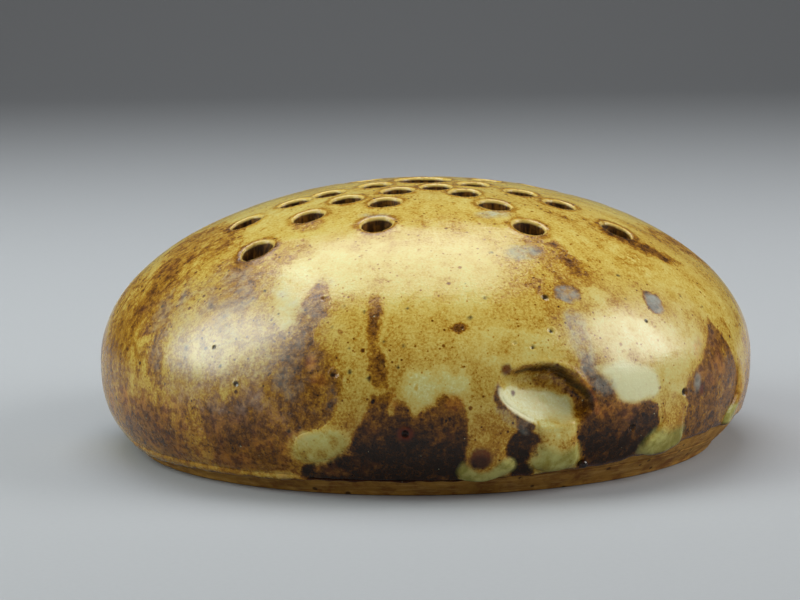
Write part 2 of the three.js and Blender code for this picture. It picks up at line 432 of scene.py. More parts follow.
@dataclass(frozen=True)
class Patch:
    """A patch of one tint inside a closed outline of azimuths and heights.

    A low fill leaves the patch broken, with the glaze beneath showing through.
    """

    tint: Tint
    outline: tuple[Place, ...]
    softness: float = 1.0
    fill: float = 6.0

    def turned(self, degrees: float, mirrored: bool = False, lifted: float = 0.0) -> "Patch":
        """Returns the patch moved round the body, and mirrored and lifted if asked."""
        way = -1 if mirrored else 1
        moved = tuple((way * a + degrees, h + lifted) for a, h in self.outline)
        return replace(self, outline=moved)

    def depth(self, form: BodyForm, azimuth: Array, station: Array) -> Array:
        """Returns the distance inside the outline in millimetres, negative outside.

        Args:
            form: The turned form.
            azimuth: Azimuths in degrees.
            station: Stations in millimetres.

        Returns:
            Millimetres, negative outside.
        """
        curve = closed_curve(np.array(self.outline, float))
        curve_station = form.station_at(curve[:, 1])
        middle = curve[:, 0].mean()
        local = (azimuth - middle + 180) % 360 - 180
        line_azimuth = curve[:, 0] - middle
        degrees = PATCH_MARGIN / LEAST_MM_PER_DEGREE
        near = (local > line_azimuth.min() - degrees) & (local < line_azimuth.max() + degrees)
        near &= station > curve_station.min() - PATCH_MARGIN
        near &= station < curve_station.max() + PATCH_MARGIN
        result = np.full(azimuth.shape, OUTSIDE)
        if not near.any():
            return result
        x, y = local[near], station[near]
        points = form.surface(x, y)
        line = form.surface(line_azimuth, curve_station)
        ends, end_x, end_y = (np.roll(v, -1, axis=0) for v in (line, line_azimuth, curve_station))
        nearest = np.full(x.shape, FAR_AWAY)
        inside = np.zeros(x.shape, bool)
        for a, b, ax, ay, bx, by in zip(line, ends, line_azimuth, curve_station, end_x, end_y):
            span = b - a
            share = np.clip((points - a) @ span / max(span @ span, 1e-9), 0, 1)
            gap = points - a - share[:, None] * span
            nearest = np.minimum(nearest, (gap**2).sum(1))
            if by != ay:
                crosses = ((ay > y) != (by > y)) & (x < (bx - ax) * (y - ay) / (by - ay) + ax)
                inside ^= crosses
        result[near] = np.sqrt(nearest) * np.where(inside, 1, -1)
        return result


@dataclass(frozen=True)
class Spot:
    """A round or oval spot of one tint, at an azimuth and a height."""

    tint: Tint
    azimuth: float
    height: float
    radius: float
    stretch: float = 1.0
    softness: float = 0.4
    fill: float = 6.0

    def depth(self, form: BodyForm, azimuth: Array, station: Array) -> Array:
        """Returns the distance inside the spot's edge in millimetres, negative outside.

        Args:
            form: The turned form.
            azimuth: Azimuths in degrees.
            station: Stations in millimetres.

        Returns:
            Millimetres, negative outside.
        """
        centre_station = form.station_at(self.height)
        local = (azimuth - self.azimuth + 180) % 360 - 180
        radius = np.interp(centre_station / form.step, np.arange(form.stations), form.radii)
        aside = np.radians(local) * radius / self.stretch
        return self.radius - np.hypot(aside, station - centre_station)


@dataclass(frozen=True)
class Crater:
    """A burst bubble in the glaze: a pit inside a raised ring."""

    azimuth: float
    height: float
    radius: float
    depth: float
    ring: float

    def reach(self, form: BodyForm, azimuth: Array, station: Array) -> Array:
        """Returns the distance inside the crater's edge, negative outside."""
        spot = Spot(Tint.SOOT, self.azimuth, self.height, self.radius)
        return spot.depth(form, azimuth, station)

    def press(self, form: BodyForm, azimuth: Array, station: Array) -> Array:
        """Returns how far the surface stands out from the form."""
        share = 1 - self.reach(form, azimuth, station) / self.radius
        pit = -self.depth * np.exp(-(share**2) * 1.6)
        return pit + self.ring * swell(share - 1.35, 0.4)


@dataclass
class FiredSkin:
    """The fired surface: how it stands on the form, and which glaze shows where."""

    form: BodyForm
    holes: list[StemHole]
    dent: ThumbDent
    glaze_line: GlazeLine
    craters: list[Crater]
    marks: list[Patch | Spot]
    coat: float = 0.45
    lip: float = 0.1
    edge_roll: float = 1.1
    edge_swell: float = 0.16
    wobble: Ripple = Ripple(26, 3)
    wobble_size: float = 0.07
    dimple: Ripple = Ripple(7, 8)
    dimple_size: float = 0.018

    def above_line(self, azimuth: Array, station: Array) -> Array:
        """Returns how far up the wall from the glaze line each place lies."""
        return station - self.form.station_at(self.glaze_line.height(azimuth))

    def rim_gap(self, points: Array) -> tuple[Array, Array]:
        """Finds the nearest hole wall.

        Args:
            points: Points, one row each.

        Returns:
            Distances outside the nearest hole's wall, and directions away from its axis.
        """
        gap = np.full(len(points), FAR_AWAY)
        away = np.zeros((len(points), 3))
        for hole in self.holes:
            off = points[:, :2] - hole.centre
            distance = np.maximum(np.hypot(off[:, 0], off[:, 1]), TINY)
            this = distance - hole.wall(np.arctan2(off[:, 1], off[:, 0]))
            nearer = this < gap
            gap[nearer] = this[nearer]
            away[nearer, :2] = off[nearer] / distance[nearer, None]
        return gap, away

    def relief(self, azimuth: Array, station: Array) -> Array:
        """Returns how far the surface stands out from the turned form.

        Args:
            azimuth: Azimuths in degrees.
            station: Stations in millimetres.

        Returns:
            Millimetres.
        """
        points = self.form.surface(azimuth, station)
        above = self.above_line(azimuth, station)
        roll = np.clip(above / self.edge_roll, 0, 1)
        coat = self.coat * np.sqrt(np.clip(1 - (1 - roll) ** 2, 0, 1))
        coat += self.edge_swell * swell(above - 1.3, 0.9) * (above > 0)
        total = coat - self.coat
        uneven = self.wobble_size * self.wobble.at(points)
        total += uneven + self.dimple_size * self.dimple.at(points)
        total += self.dent.press(self.form, azimuth, station)
        for crater in self.craters:
            total += crater.press(self.form, azimuth, station)
        gap, _ = self.rim_gap(points)
        return total + self.lip * swell(gap - 0.9, 0.7)

    def tints(self, points: Array) -> dict[str, Array]:
        """Returns the attributes that the finishes read, one value for each point.

        Args:
            points: Points in millimetres, one row each.

        Returns:
            Values by the attribute's name.
        """
        azimuth, station, outside, _ = self.form.locate(points)
        gap, _ = self.rim_gap(points)
        found = {
            "rim": np.clip(gap, -1, 12),
            "below": np.clip(self.relief(azimuth, station) - outside, -1, 9),
            "above_line": np.clip(self.above_line(azimuth, station), -9, 60),
        }
        for tint in Tint:
            total = np.full(len(points), OUTSIDE)
            for mark in self.marks:
                if mark.tint is tint:
                    depth = mark.depth(self.form, azimuth, station) / mark.softness
                    total = np.maximum(total, np.minimum(depth, mark.fill))
            # The dent's steep edge is dark glaze, partly painted shade under its lip.
            if tint is Tint.IRON:
                edge = self.dent.steep_edge(self.form, azimuth, station)
                total = np.maximum(total, edge / 0.7)
            found[tint.attribute] = np.clip(total, -6, 6)
        return found


def deselect() -> None:
    """Leaves object mode and selects nothing."""
    if bpy.context.mode != "OBJECT":
        set_mode("OBJECT")
    bpy.ops.object.select_all(action="DESELECT")


def pick(piece: Piece) -> None:
    """Makes a piece the only selected and the active one."""
    deselect()
    piece.select_set(True)
    bpy.context.view_layer.objects.active = piece


def read_mm(piece: Piece) -> Array:
    """Returns a piece's vertices in millimetres."""
    flat = np.empty(len(piece.data.vertices) * 3)
    piece.data.vertices.foreach_get("co", flat)
    return flat.reshape(-1, 3) / MM


def write_mm(piece: Piece, points: Array) -> None:
    """Moves a piece's vertices to points in millimetres."""
    piece.data.vertices.foreach_set("co", (points * MM).ravel())
    piece.data.update()


def apply_modifier(piece: Piece, kind: str, **settings: object) -> None:
    """Adds a modifier to a piece with its settings and applies it.

    Args:
        piece: The piece.
        kind: The modifier's type.
        settings: Its settings.
    """
    pick(piece)
    modifier = piece.modifiers.new(kind.title(), kind)
    for name, value in settings.items():
        setattr(modifier, name, value)
    bpy.ops.object.modifier_apply(modifier=modifier.name)


class Part(Enum):
    """What a selection is made of, and its list on a mesh."""

    VERT = "vertices"
    EDGE = "edges"
    FACE = "polygons"


def read_faces(piece: Piece, name: str) -> Array:
    """Returns the middles or the normals of a piece's faces."""
    flat = np.empty(len(piece.data.polygons) * 3)
    piece.data.polygons.foreach_get(name, flat)
    return flat.reshape(-1, 3)


def set_mode(mode: str) -> None:
    """Enters edit mode or object mode."""
    bpy.ops.object.mode_set(mode=mode)


def select_parts(piece: Piece, part: Part, chosen: Array | list[bool]) -> None:
    """Enters edit mode on a piece with only the chosen points, edges or faces selected.

    Args:
        piece: The piece.
        part: What the choice is made of.
        chosen: Whether each is chosen.
    """
    pick(piece)
    set_mode("EDIT")
    bpy.ops.mesh.select_mode(type=part.name)
    bpy.ops.mesh.select_all(action="DESELECT")
    set_mode("OBJECT")
    getattr(piece.data, part.value).foreach_set("select", chosen)
    set_mode("EDIT")


def subdivide_where(piece: Piece, wanted: Callable[[Array], Array]) -> None:
    """Subdivides the faces whose middles, in millimetres, are wanted."""
    select_parts(piece, Part.FACE, wanted(read_faces(piece, "center") / MM))
    bpy.ops.mesh.subdivide(number_cuts=1, ngon=False)
    set_mode("OBJECT")


def paint_tints(piece: Piece, skin: FiredSkin, points: Array) -> None:
    """Stores the skin's tints on a piece, read at the given points."""
    for name, values in skin.tints(points).items():
        layer = piece.data.attributes.new(name, "FLOAT", "POINT")
        layer.data.foreach_set("value", values.astype(np.float32))


def hand_over(
    piece: Piece,
    name: str,
    material: Material,
    stands_for: Sequence[str],
) -> Piece:
    """Names, dresses and smooths a finished piece, parents it to the root, hides its CAD nodes.

    Args:
        piece: The finished piece.
        name: The name that the piece and its mesh take.
        material: The finish it wears.
        stands_for: The CAD nodes it replaces.

    Returns:
        The piece.
    """
    pick(piece)
    bpy.ops.object.shade_smooth()
    piece.name = name
    piece.data.name = name
    piece.data.materials.clear()
    piece.data.materials.append(material)
    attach(piece, "root")
    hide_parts(*stands_for)
    triangles = sum(len(face.vertices) - 2 for face in piece.data.polygons)
    log.info("%s: %d triangles", name, triangles)
    return piece


@dataclass
class PiercedDome:
    """The hollow dome: thrown as a shell, pierced, then settled on the fired skin."""

    skin: FiredSkin
    wall: float = 5.5
    grain: float = 1.0
    inside_share: float = 0.25
    underside: float = 4.0
    outer_round: float = 0.55
    inner_round: float = 0.6
    shell_round: float = 0.4
    foot_round: float = 0.5
    longest_step: float = 1.5
    dent_zone: tuple[float, float] = (13.0, 9.5)

    def build(self, material: Material) -> Piece:
        """Models the dome and hands it over.

        Args:
            material: The piece's material.

        Returns:
            The piece.
        """
        dome = self._throw()
        self._pierce(dome)
        apply_modifier(dome, "REMESH", mode="VOXEL", voxel_size=self.grain * MM)
        self._thin_inside(dome)
        self._settle(dome)
        for regions in (self._fine_regions, self._finest_regions):
            subdivide_where(dome, regions)
            self._settle(dome)
        paint_tints(dome, self.skin, read_mm(dome))
        return hand_over(dome, "dome", material, ["pierced_dome"])

    def _throw(self) -> Piece:
        """Shapes a sphere into the open shell and gives it its wall.

        Returns:
            The shell.
        """
        form = self.skin.form
        deselect()
        bpy.ops.mesh.primitive_uv_sphere_add(
            segments=160, ring_count=80, radius=form.girth_radius * MM
        )
        shell = bpy.context.object
        shell.data.transform(Matrix.Translation((0, 0, form.girth_height * MM)))
        drop = math.atan2(form.girth_height - self.underside, form.seam_radius)
        cut_height = form.girth_height - form.girth_radius * math.sin(drop)
        set_mode("EDIT")
        bpy.ops.mesh.select_all(action="SELECT")
        bpy.ops.mesh.bisect(plane_co=(0, 0, cut_height * MM), plane_no=(0, 0, 1), clear_inner=True)
        set_mode("OBJECT")
        points = read_mm(shell)
        station = form.station_towards(np.hypot(*points[:, :2].T), points[:, 2])
        write_mm(shell, form.surface(azimuth_of(points), station))
        apply_modifier(shell, "SOLIDIFY", thickness=self.wall * MM, offset=-1, use_rim=True)
        return shell

    def _pierce(self, shell: Piece) -> None:
        """Cuts the centre hole and the stem holes straight down through the crown.

        Args:
            shell: The shell.
        """
        cutters = []
        for hole in self.skin.holes:
            deselect()
            x, y = hole.centre * MM
            bpy.ops.mesh.primitive_cylinder_add(
                vertices=48, radius=hole.radius * MM, depth=0.05, location=(x, y, 0.05)
            )
            cutters.append(bpy.context.object)
        deselect()
        for cutter in cutters:
            cutter.select_set(True)
        bpy.context.view_layer.objects.active = cutters[0]
        bpy.ops.object.join()
        punch = bpy.context.object
        apply_modifier(shell, "BOOLEAN", operation="DIFFERENCE", solver="EXACT", object=punch)
        bpy.data.objects.remove(punch)

    def _thin_inside(self, dome: Piece) -> None:
        """Takes faces out of the chamber's wall, which shows only through the holes.

        Args:
            dome: The dome.
        """
        points = read_mm(dome)
        _, _, outside, _ = self.skin.form.locate(points)
        gap, _ = self.skin.rim_gap(points)
        hidden = (outside < -self.wall * 0.8) & (gap > 3) & (points[:, 2] > self.underside + 2)
        select_parts(dome, Part.VERT, hidden)
        bpy.ops.mesh.decimate(ratio=self.inside_share)
        set_mode("OBJECT")

    def _solid(self, points: Array) -> tuple[Array, Array]:
        """Returns signed distances to the fired dome and their gradients.

        Args:
            points: Points in millimetres, one row each.

        Returns:
            Distances in millimetres, and gradients, one row each.
        """
        azimuth, station, outside, normal = self.skin.form.locate(points)
        proud = self.skin.relief(azimuth, station)
        press = np.minimum(self.skin.dent.press(self.skin.form, azimuth, station), 0)
        outer = outside - proud
        inner = press - outside - self.wall
        solid, slope = soft_max(outer, normal, inner, -normal, self.shell_round)
        foot = self.underside - points[:, 2]
        down = np.tile([0.0, 0.0, -1.0], (len(points), 1))
        solid, slope = soft_max(solid, slope, foot, down, self.foot_round)
        gap, away = self.skin.rim_gap(points)
        outside_share = ease(outer, -self.wall * 0.7, -self.wall * 0.3)
        width = self.inner_round + (self.outer_round - self.inner_round) * outside_share
        return soft_max(solid, slope, -gap, -away, width)

    def _settle(self, dome: Piece) -> None:
        """Moves every vertex onto the fired surface.

        Args:
            dome: The dome.
        """
        points = read_mm(dome)
        for _ in range(5):
            distance, slope = self._solid(points)
            size = np.maximum((slope**2).sum(1), 0.2)
            step = np.clip(distance, -self.longest_step, self.longest_step) / size
            points = points - step[:, None] * slope
        write_mm(dome, points)

    def _fine_regions(self, middles: Array) -> Array:
        """Picks the hole edges, the glaze line, the dent and the craters.

        Args:
            middles: Middles of the faces, one row each.

        Returns:
            Whether each face is picked.
        """
        skin = self.skin
        azimuth, station, outside, _ = skin.form.locate(middles)
        gap, _ = skin.rim_gap(middles)
        above = skin.above_line(azimuth, station)
        wanted = (gap < 1.5) | ((above > -0.9) & (above < 1.7))
        wanted |= self._near_crater(azimuth, station, 1.8)
        aside = skin.form.across(azimuth - skin.dent.azimuth)
        off = station - skin.form.station_at(skin.dent.height)
        wide, tall = self.dent_zone
        in_dent = np.hypot(aside / wide, off / tall) < 1
        return ((outside > -2.2) & wanted) | ((outside > -4.6) & in_dent)

    def _finest_regions(self, middles: Array) -> Array:
        """Picks the craters once more."""
        azimuth, station, outside, _ = self.skin.form.locate(middles)
        return (outside > -3.8) & self._near_crater(azimuth, station, 1.0)

    def _near_crater(self, azimuth: Array, station: Array, margin: float) -> Array:
        """Tells which places lie within a margin of a crater.

        Args:
            azimuth: Azimuths in degrees.
            station: Stations in millimetres.
            margin: The margin in millimetres.

        Returns:
            Whether each place is near.
        """
        near = np.zeros(azimuth.shape, bool)
        for crater in self.skin.craters:
            near |= crater.reach(self.skin.form, azimuth, station) > -margin
        return near


@dataclass
class FootDisc:
    """The trimmed disc of bare clay that closes the dome and stands on the table."""

    skin: FiredSkin
    floor: float = 6.0
    seam: float = 4.0
    plug_gap: float = 0.4
    wall: float = 5.5
    segments: int = 400
    edge: float = 0.5

    def build(self, material: Material) -> Piece:
        """Models the disc and hands it over.

        Args:
            material: The piece's material.

        Returns:
            The piece.
        """
        form = self.skin.form
        last_r, last_z = form.foot_radius - self.edge, 0.0
        deselect()
        bpy.ops.mesh.primitive_circle_add(
            vertices=self.segments, radius=last_r * MM, fill_type="NGON"
        )
        disc = bpy.context.object
        set_mode("EDIT")
        bpy.ops.mesh.select_all(action="SELECT")
        bpy.ops.mesh.flip_normals()
        for radius, height in self._rings():
            bpy.ops.mesh.extrude_region_move(
                TRANSFORM_OT_translate={"value": (0, 0, (height - last_z) * MM)}
            )
            share = radius / last_r
            bpy.ops.transform.resize(value=(share, share, 1), center_override=(0, 0, height * MM))
            last_r, last_z = radius, height
        bpy.ops.mesh.select_all(action="SELECT")
        bpy.ops.mesh.normals_make_consistent(inside=False)
        set_mode("OBJECT")
        self._settle(disc)
        paint_tints(disc, self.skin, read_mm(disc))
        return hand_over(disc, "foot", material, ["foot_disc"])

    def _rings(self) -> list[Place]:
        """Returns radius and height of each ring that is drawn up from the underside.

        Returns:
            Radii and heights in millimetres, in order.
        """
        form = self.skin.form
        rings = []
        for share in (0.35, 0.7, 1.0):
            turn = share * math.pi / 2
            radius = form.foot_radius - self.edge * (1 - math.sin(turn))
            rings.append((radius + 0.2 * share, self.edge * (1 - math.cos(turn))))
        for height in np.arange(0.8, self.seam - 0.05, 0.4):
            rings.append((float(np.interp(height, form.heights, form.radii)), float(height)))
        rings.append((form.seam_radius - 0.1, self.seam - 0.02))
        plug = form.seam_radius - self.wall - 1.6 - self.plug_gap
        rings += [(plug + 4, self.seam), (plug, self.seam), (plug, self.floor - 0.4)]
        rings += [(plug - 0.4, self.floor), (plug - 12, self.floor), (plug - 30, self.floor)]
        return rings

    def _settle(self, disc: Piece) -> None:
        """Gives the band the unevenness of the skin.

        Args:
            disc: The disc.
        """
        points = read_mm(disc)
        azimuth, station, outside, normal = self.skin.form.locate(points)
        on_band = (np.abs(outside) < 0.35) & (points[:, 2] > 0.3) & (points[:, 2] < self.seam)
        proud = self.skin.relief(azimuth, station)
        rise = ease(points[:, 2], 0.2, 0.9)
        moved = points + normal * ((proud - outside) * rise)[:, None]
        points[on_band] = moved[on_band]
        write_mm(disc, points)


@dataclass
class GlazeRun:
    """A thick run of glaze that ends in a rounded bead, laid over the skin."""

    skin: FiredSkin
    name: str
    slot: str
    outline: tuple[Place, ...]
    thickness: float
    edge: float
    thin_above: float
    pitch: float = 0.45
    margin: float = 1.6
    kept_outside: float = 1.1
    sunk: float = 0.5
    sunk_all_over: float = 0.03
    backing: float = 0.8

    def build(self, material: Material) -> Piece:
        """Models the run and hands it over.

        Args:
            material: The piece's material.

        Returns:
            The piece.
        """
        form = self.skin.form
        azimuths, heights = np.array(self.outline, float).T
        stations = form.station_at(heights)
        degrees = math.degrees(self.margin / form.girth_radius)
        low_a, high_a = azimuths.min() - degrees, azimuths.max() + degrees
        low_s, high_s = stations.min() - self.margin, stations.max() + self.margin
        across = math.radians(high_a - low_a) * form.girth_radius
        columns = max(int(across / self.pitch), 4)
        rows = max(int((high_s - low_s) / self.pitch), 4)
        deselect()
        bpy.ops.mesh.primitive_grid_add(x_subdivisions=columns, y_subdivisions=rows, size=2)
        run = bpy.context.object
        flat = read_mm(run) * MM
        azimuth = low_a + (flat[:, 0] + 1) / 2 * (high_a - low_a)
        station = low_s + (flat[:, 1] + 1) / 2 * (high_s - low_s)
        inside = Patch(Tint.CELADON, self.outline).depth(form, azimuth, station)
        proud = self.skin.relief(azimuth, station) + self._thickness(inside, station)
        write_mm(run, form.surface(azimuth, station, proud))
        self._trim(run, inside)
        azimuth, station, _, _ = form.locate(read_mm(run))
        on_form = form.surface(azimuth, station, self.skin.relief(azimuth, station))
        paint_tints(run, self.skin, on_form)
        apply_modifier(run, "SOLIDIFY", thickness=self.backing * MM, offset=-1, use_rim=True)
        return hand_over(run, self.name, material, ["glaze_" + self.name])

    def _thickness(self, inside: Array, station: Array) -> Array:
        """Returns the run's thickness, rounded at its edge and dipping under the skin outside.

        Args:
            inside: Distances inside the outline, in millimetres.
            station: Stations in millimetres.

        Returns:
            Millimetres.
        """
        roll = np.clip(inside / self.edge, 0, 1)
        bulge = np.sqrt(np.clip(1 - (1 - roll) ** 2, 0, 1))
        low = self.skin.form.station_at(np.array([h for _, h in self.outline]).min())
        fade = 1 - ease(station - low, self.thin_above * 0.35, self.thin_above)
        sunk = np.clip(-inside / 0.7, 0, 1) * self.sunk
        return self.thickness * bulge * fade - sunk - self.sunk_all_over

    def _trim(self, run: Piece, inside: Array) -> None:
        """Removes the part of the grid that lies outside the outline.

        Args:
            run: The grid.
            inside: The distance inside the outline for each vertex.
        """
        select_parts(run, Part.VERT, inside < -self.kept_outside)
        bpy.ops.mesh.delete(type="VERT")
        bpy.ops.mesh.select_all(action="SELECT")
        bpy.ops.mesh.normals_make_consistent(inside=False)
        set_mode("OBJECT")
        if (read_faces(run, "normal") * read_faces(run, "center")).sum() < 0:
            set_mode("EDIT")
            bpy.ops.mesh.select_all(action="SELECT")
            bpy.ops.mesh.flip_normals()
            set_mode("OBJECT")


@dataclass
class GlazeDrop:
    """A drop of black glass that sits on the wall."""

    skin: FiredSkin
    azimuth: float
    height: float
    radius: float = 1.0
    stretch: tuple[float, float, float] = (1.12, 1.0, 0.92)
    flat_back: float = 0.8
    proud: float = 0.45

    def build(self, material: Material) -> Piece:
        """Models the drop and hands it over.

        Args:
            material: The piece's material.

        Returns:
            The piece.
        """
        deselect()
        bpy.ops.mesh.primitive_uv_sphere_add(segments=40, ring_count=24, radius=self.radius * MM)
        drop = bpy.context.object
        points = read_mm(drop) * self.stretch
        azimuth = np.array([self.azimuth])
        station = self.skin.form.station_at(np.array([self.height]))
        proud = self.skin.relief(azimuth, station)
        centre = self.skin.form.surface(azimuth, station, proud + self.proud * self.radius)[0]
        points[:, 1] *= np.where(points[:, 1] > 0, self.flat_back, 1.0)
        angle = math.radians(self.azimuth)
        turn = np.array([[math.cos(angle), -math.sin(angle)], [math.sin(angle), math.cos(angle)]])
        points[:, :2] = points[:, :2] @ turn.T
        write_mm(drop, points + centre)
        return hand_over(drop, "drop", material, ["glaze_drop_black"])


class NodeBoard:
    """Adds nodes to one tree and joins them, so that a finish reads as its layers."""

    def __init__(self, tree: Tree) -> None:
        """Starts an empty board on a tree."""
        self.tree = tree
        tree.nodes.clear()

    def add(self, kind: str, **settings: object) -> bpy.types.Node:
        """Adds a node and sets its properties.

        Args:
            kind: The node's type.
            settings: Its properties.

        Returns:
            The node.
        """
        made = self.tree.nodes.new(kind)
        for name, value in settings.items():
            setattr(made, name, value)
        return made

    def feed(self, socket: Socket, value: object) -> None:
        """Joins a socket to another, or sets its plain value.

        Args:
            socket: The socket.
            value: Another socket, or a plain value.
        """
        if isinstance(value, Socket):
            self.tree.links.new(value, socket)
        else:
            socket.default_value = value

    def calc(self, operation: str, *values: object, clamp: bool = False) -> Socket:
        """Returns the result of a maths operation.

        Args:
            operation: The operation's name.
            values: Sockets or numbers.
            clamp: Whether to keep the result between 0 and 1.

        Returns:
            The result's socket.
        """
        node = self.add("ShaderNodeMath", operation=operation, use_clamp=clamp)
        for socket, value in zip(node.inputs, values):
            self.feed(socket, value)
        return node.outputs[0]

    def blend(self, amount: object, under: object, over: object) -> Socket:
        """Returns the colour under, covered by the colour over in the given amount.

        Args:
            amount: The amount, from 0 to 1.
            under: The colour below.
            over: The colour on top.

        Returns:
            The result's socket.
        """
        node = self.add("ShaderNodeMix", data_type="RGBA")
        for index, value in ((0, amount), (6, under), (7, over)):
            self.feed(node.inputs[index], value)
        return node.outputs[2]

    def ramp(
        self, value: object, low: float, high: float, start: float = 0.0, end: float = 1.0
    ) -> Socket:
        """Returns value eased from start to end while it goes from low to high.

        Args:
            value: The value.
            low: Where the easing starts.
            high: Where it ends.
            start: The result at low.
            end: The result at high.

        Returns:
            The result's socket.
        """
        node = self.add("ShaderNodeMapRange", interpolation_type="SMOOTHSTEP")
        for socket, setting in zip(node.inputs, (value, low, high, start, end)):
            self.feed(socket, setting)
        return node.outputs[0]

    def shift(self, value: object, *patterns: tuple[object, float]) -> Socket:
        """Returns value moved up and down by patterns centred on a half, each by its amount."""
        for pattern, amount in patterns:
            value = self.calc("MULTIPLY_ADD", self.calc("SUBTRACT", pattern, 0.5), amount, value)
        return value

    def stack(self, value: object, *layers: tuple[object, float]) -> Socket:
        """Returns value with each layer added in its amount, which may be negative."""
        for layer, amount in layers:
            value = self.calc("ADD", value, self.scale(layer, amount))
        return value

    def mix(self, amount: object, under: object, over: object) -> Socket:
        """Returns the value under, replaced by the value over in the given amount.

        Args:
            amount: The amount, from 0 to 1.
            under: The value below.
            over: The value on top.

        Returns:
            The result's socket.
        """
        node = self.add("ShaderNodeMix", data_type="FLOAT")
        for index, value in ((0, amount), (2, under), (3, over)):
            self.feed(node.inputs[index], value)
        return node.outputs[0]

    def scale(self, value: object, share: float) -> Socket:
        """Returns the value times a share."""
        return self.calc("MULTIPLY", value, share)

    def stops(self, value: object, tones: Sequence[tuple[float, Colour]]) -> Socket:
        """Returns the colour that a row of stops gives at value.

        Args:
            value: The value.
            tones: Places and their colours.

        Returns:
            The result's socket.
        """
        node = self.add("ShaderNodeValToRGB")
        row = node.color_ramp.elements
        for _ in range(len(tones) - len(row)):
            row.new(0.5)
        for element, (position, colour) in zip(row, tones):
            element.position = position
            element.color = colour
        self.feed(node.inputs[0], value)
        return node.outputs[0]

    def noise(
        self,
        vector: object,
        size: float,
        detail: float = 2.0,
        roughness: float = 0.5,
        distortion: float = 0.0,
    ) -> Socket:
        """Returns a cloudy pattern whose lumps are about size millimetres across.

        Args:
            vector: The coordinates.
            size: The lumps' size.
            detail: How many finer layers are added.
            roughness: How strong the finer layers are.
            distortion: How far the pattern is warped.

        Returns:
            The result's socket.
        """
        node = self.add("ShaderNodeTexNoise")
        for socket, value in zip(
            ("Vector", "Scale", "Detail", "Roughness", "Distortion"),
            (vector, 1 / (size * MM), detail, roughness, distortion),
        ):
            self.feed(node.inputs[socket], value)
        return node.outputs[0]

    def join_axes(self, x: object, y: object, z: object) -> Socket:
        """Returns a vector made of three values.

        Args:
            x: The first.
            y: The second.
            z: The third.

        Returns:
            The result's socket.
        """
        node = self.add("ShaderNodeCombineXYZ")
        for socket, value in zip(node.inputs, (x, y, z)):
            self.feed(socket, value)
        return node.outputs[0]

    def split_axes(self, vector: object) -> Sequence[Socket]:
        """Returns the three values of a vector."""
        node = self.add("ShaderNodeSeparateXYZ")
        self.feed(node.inputs[0], vector)
        return node.outputs

    def on_piece(self) -> Socket:
        """Returns the place on the piece."""
        return self.add("ShaderNodeTexCoord").outputs["Object"]

    def carried(self, name: str) -> Socket:
        """Returns a value that the piece carries as an attribute."""
        return self.add("ShaderNodeAttribute", attribute_name=name).outputs["Fac"]

    def set_inputs(self, node: bpy.types.Node, **values: object) -> bpy.types.Node:
        """Feeds a node's inputs by name, with _ for a space, and returns the node."""
        for name, value in values.items():
            self.feed(node.inputs[name.replace("_", " ")], value)
        return node

    def place(self, tree: Tree, **values: object) -> bpy.types.Node:
        """Places a node group with its inputs."""
        return self.set_inputs(self.add("ShaderNodeGroup", node_tree=tree), **values)

    def cells(self, vector: object, scale: object, **settings: object) -> bpy.types.Node:
        """Places a pattern of cells."""
        node = self.add("ShaderNodeTexVoronoi", **settings)
        return self.set_inputs(node, Vector=vector, Scale=scale)


def group_board(
    name: str, inputs: dict[str, str], outputs: dict[str, str]
) -> tuple[NodeBoard, bpy.types.Node, bpy.types.Node]:
    """Starts a node group.

    Args:
        name: The group's name.
        inputs: Socket kinds by input name.
        outputs: Socket kinds by output name.

    Returns:
        The board, the group's input node and its output node.
    """
    tree = bpy.data.node_groups.new(name, "ShaderNodeTree")
    board = NodeBoard(tree)
    for way, sockets in (("INPUT", inputs), ("OUTPUT", outputs)):
        for label, kind in sockets.items():
            tree.interface.new_socket(label, in_out=way, socket_type="NodeSocket" + kind)
    return board, board.add("NodeGroupInput"), board.add("NodeGroupOutput")


def material_board(name: str) -> tuple[Material, NodeBoard, bpy.types.Node]:
    """Starts a material.

    Args:
        name: The material's name.

    Returns:
        The material, its board and its shader, which is joined to the output.
    """
    material = bpy.data.materials.new(name)
    material.use_nodes = True
    board = NodeBoard(material.node_tree)
    shader = board.add("ShaderNodeBsdfPrincipled")
    board.set_inputs(board.add("ShaderNodeOutputMaterial"), Surface=shader.outputs[0])
    return material, board, shader


@dataclass(frozen=True)
class Tones:
    """The glaze and clay tones, named as a potter would."""

    by_thickness: tuple[tuple[float, Colour], ...] = (
        (0.00, tone(28, 13, 3)),
        (0.12, tone(44, 23, 5)),
        (0.25, tone(80, 46, 5)),
        (0.38, tone(123, 78, 14)),
        (0.50, tone(160, 115, 28)),
        (0.62, tone(188, 158, 70)),
        (0.74, tone(198, 176, 96)),
        (0.86, tone(198, 188, 114)),
        (1.00, tone(212, 210, 156)),
    )
    celadon: Colour = tone(128, 126, 54)
    celadon_light: Colour = tone(176, 172, 100)
    rust: Colour = tone(140, 76, 22)
    rust_bright: Colour = tone(192, 124, 40)
    bloom: Colour = tone(142, 152, 146)
    lilac: Colour = tone(154, 136, 116)
    ember: Colour = tone(86, 32, 12)
    iron_red: Colour = tone(78, 34, 10)
    soot: Colour = tone(16, 10, 7)
    chalk: Colour = tone(216, 214, 172)
    lip_gold: Colour = tone(212, 182, 104)
    wall_gold: Colour = tone(136, 90, 30)
    wall_dark: Colour = tone(46, 25, 8)
    clay: Colour = tone(170, 124, 52)
    clay_dark: Colour = tone(128, 82, 30)
    clay_light: Colour = tone(204, 162, 92)


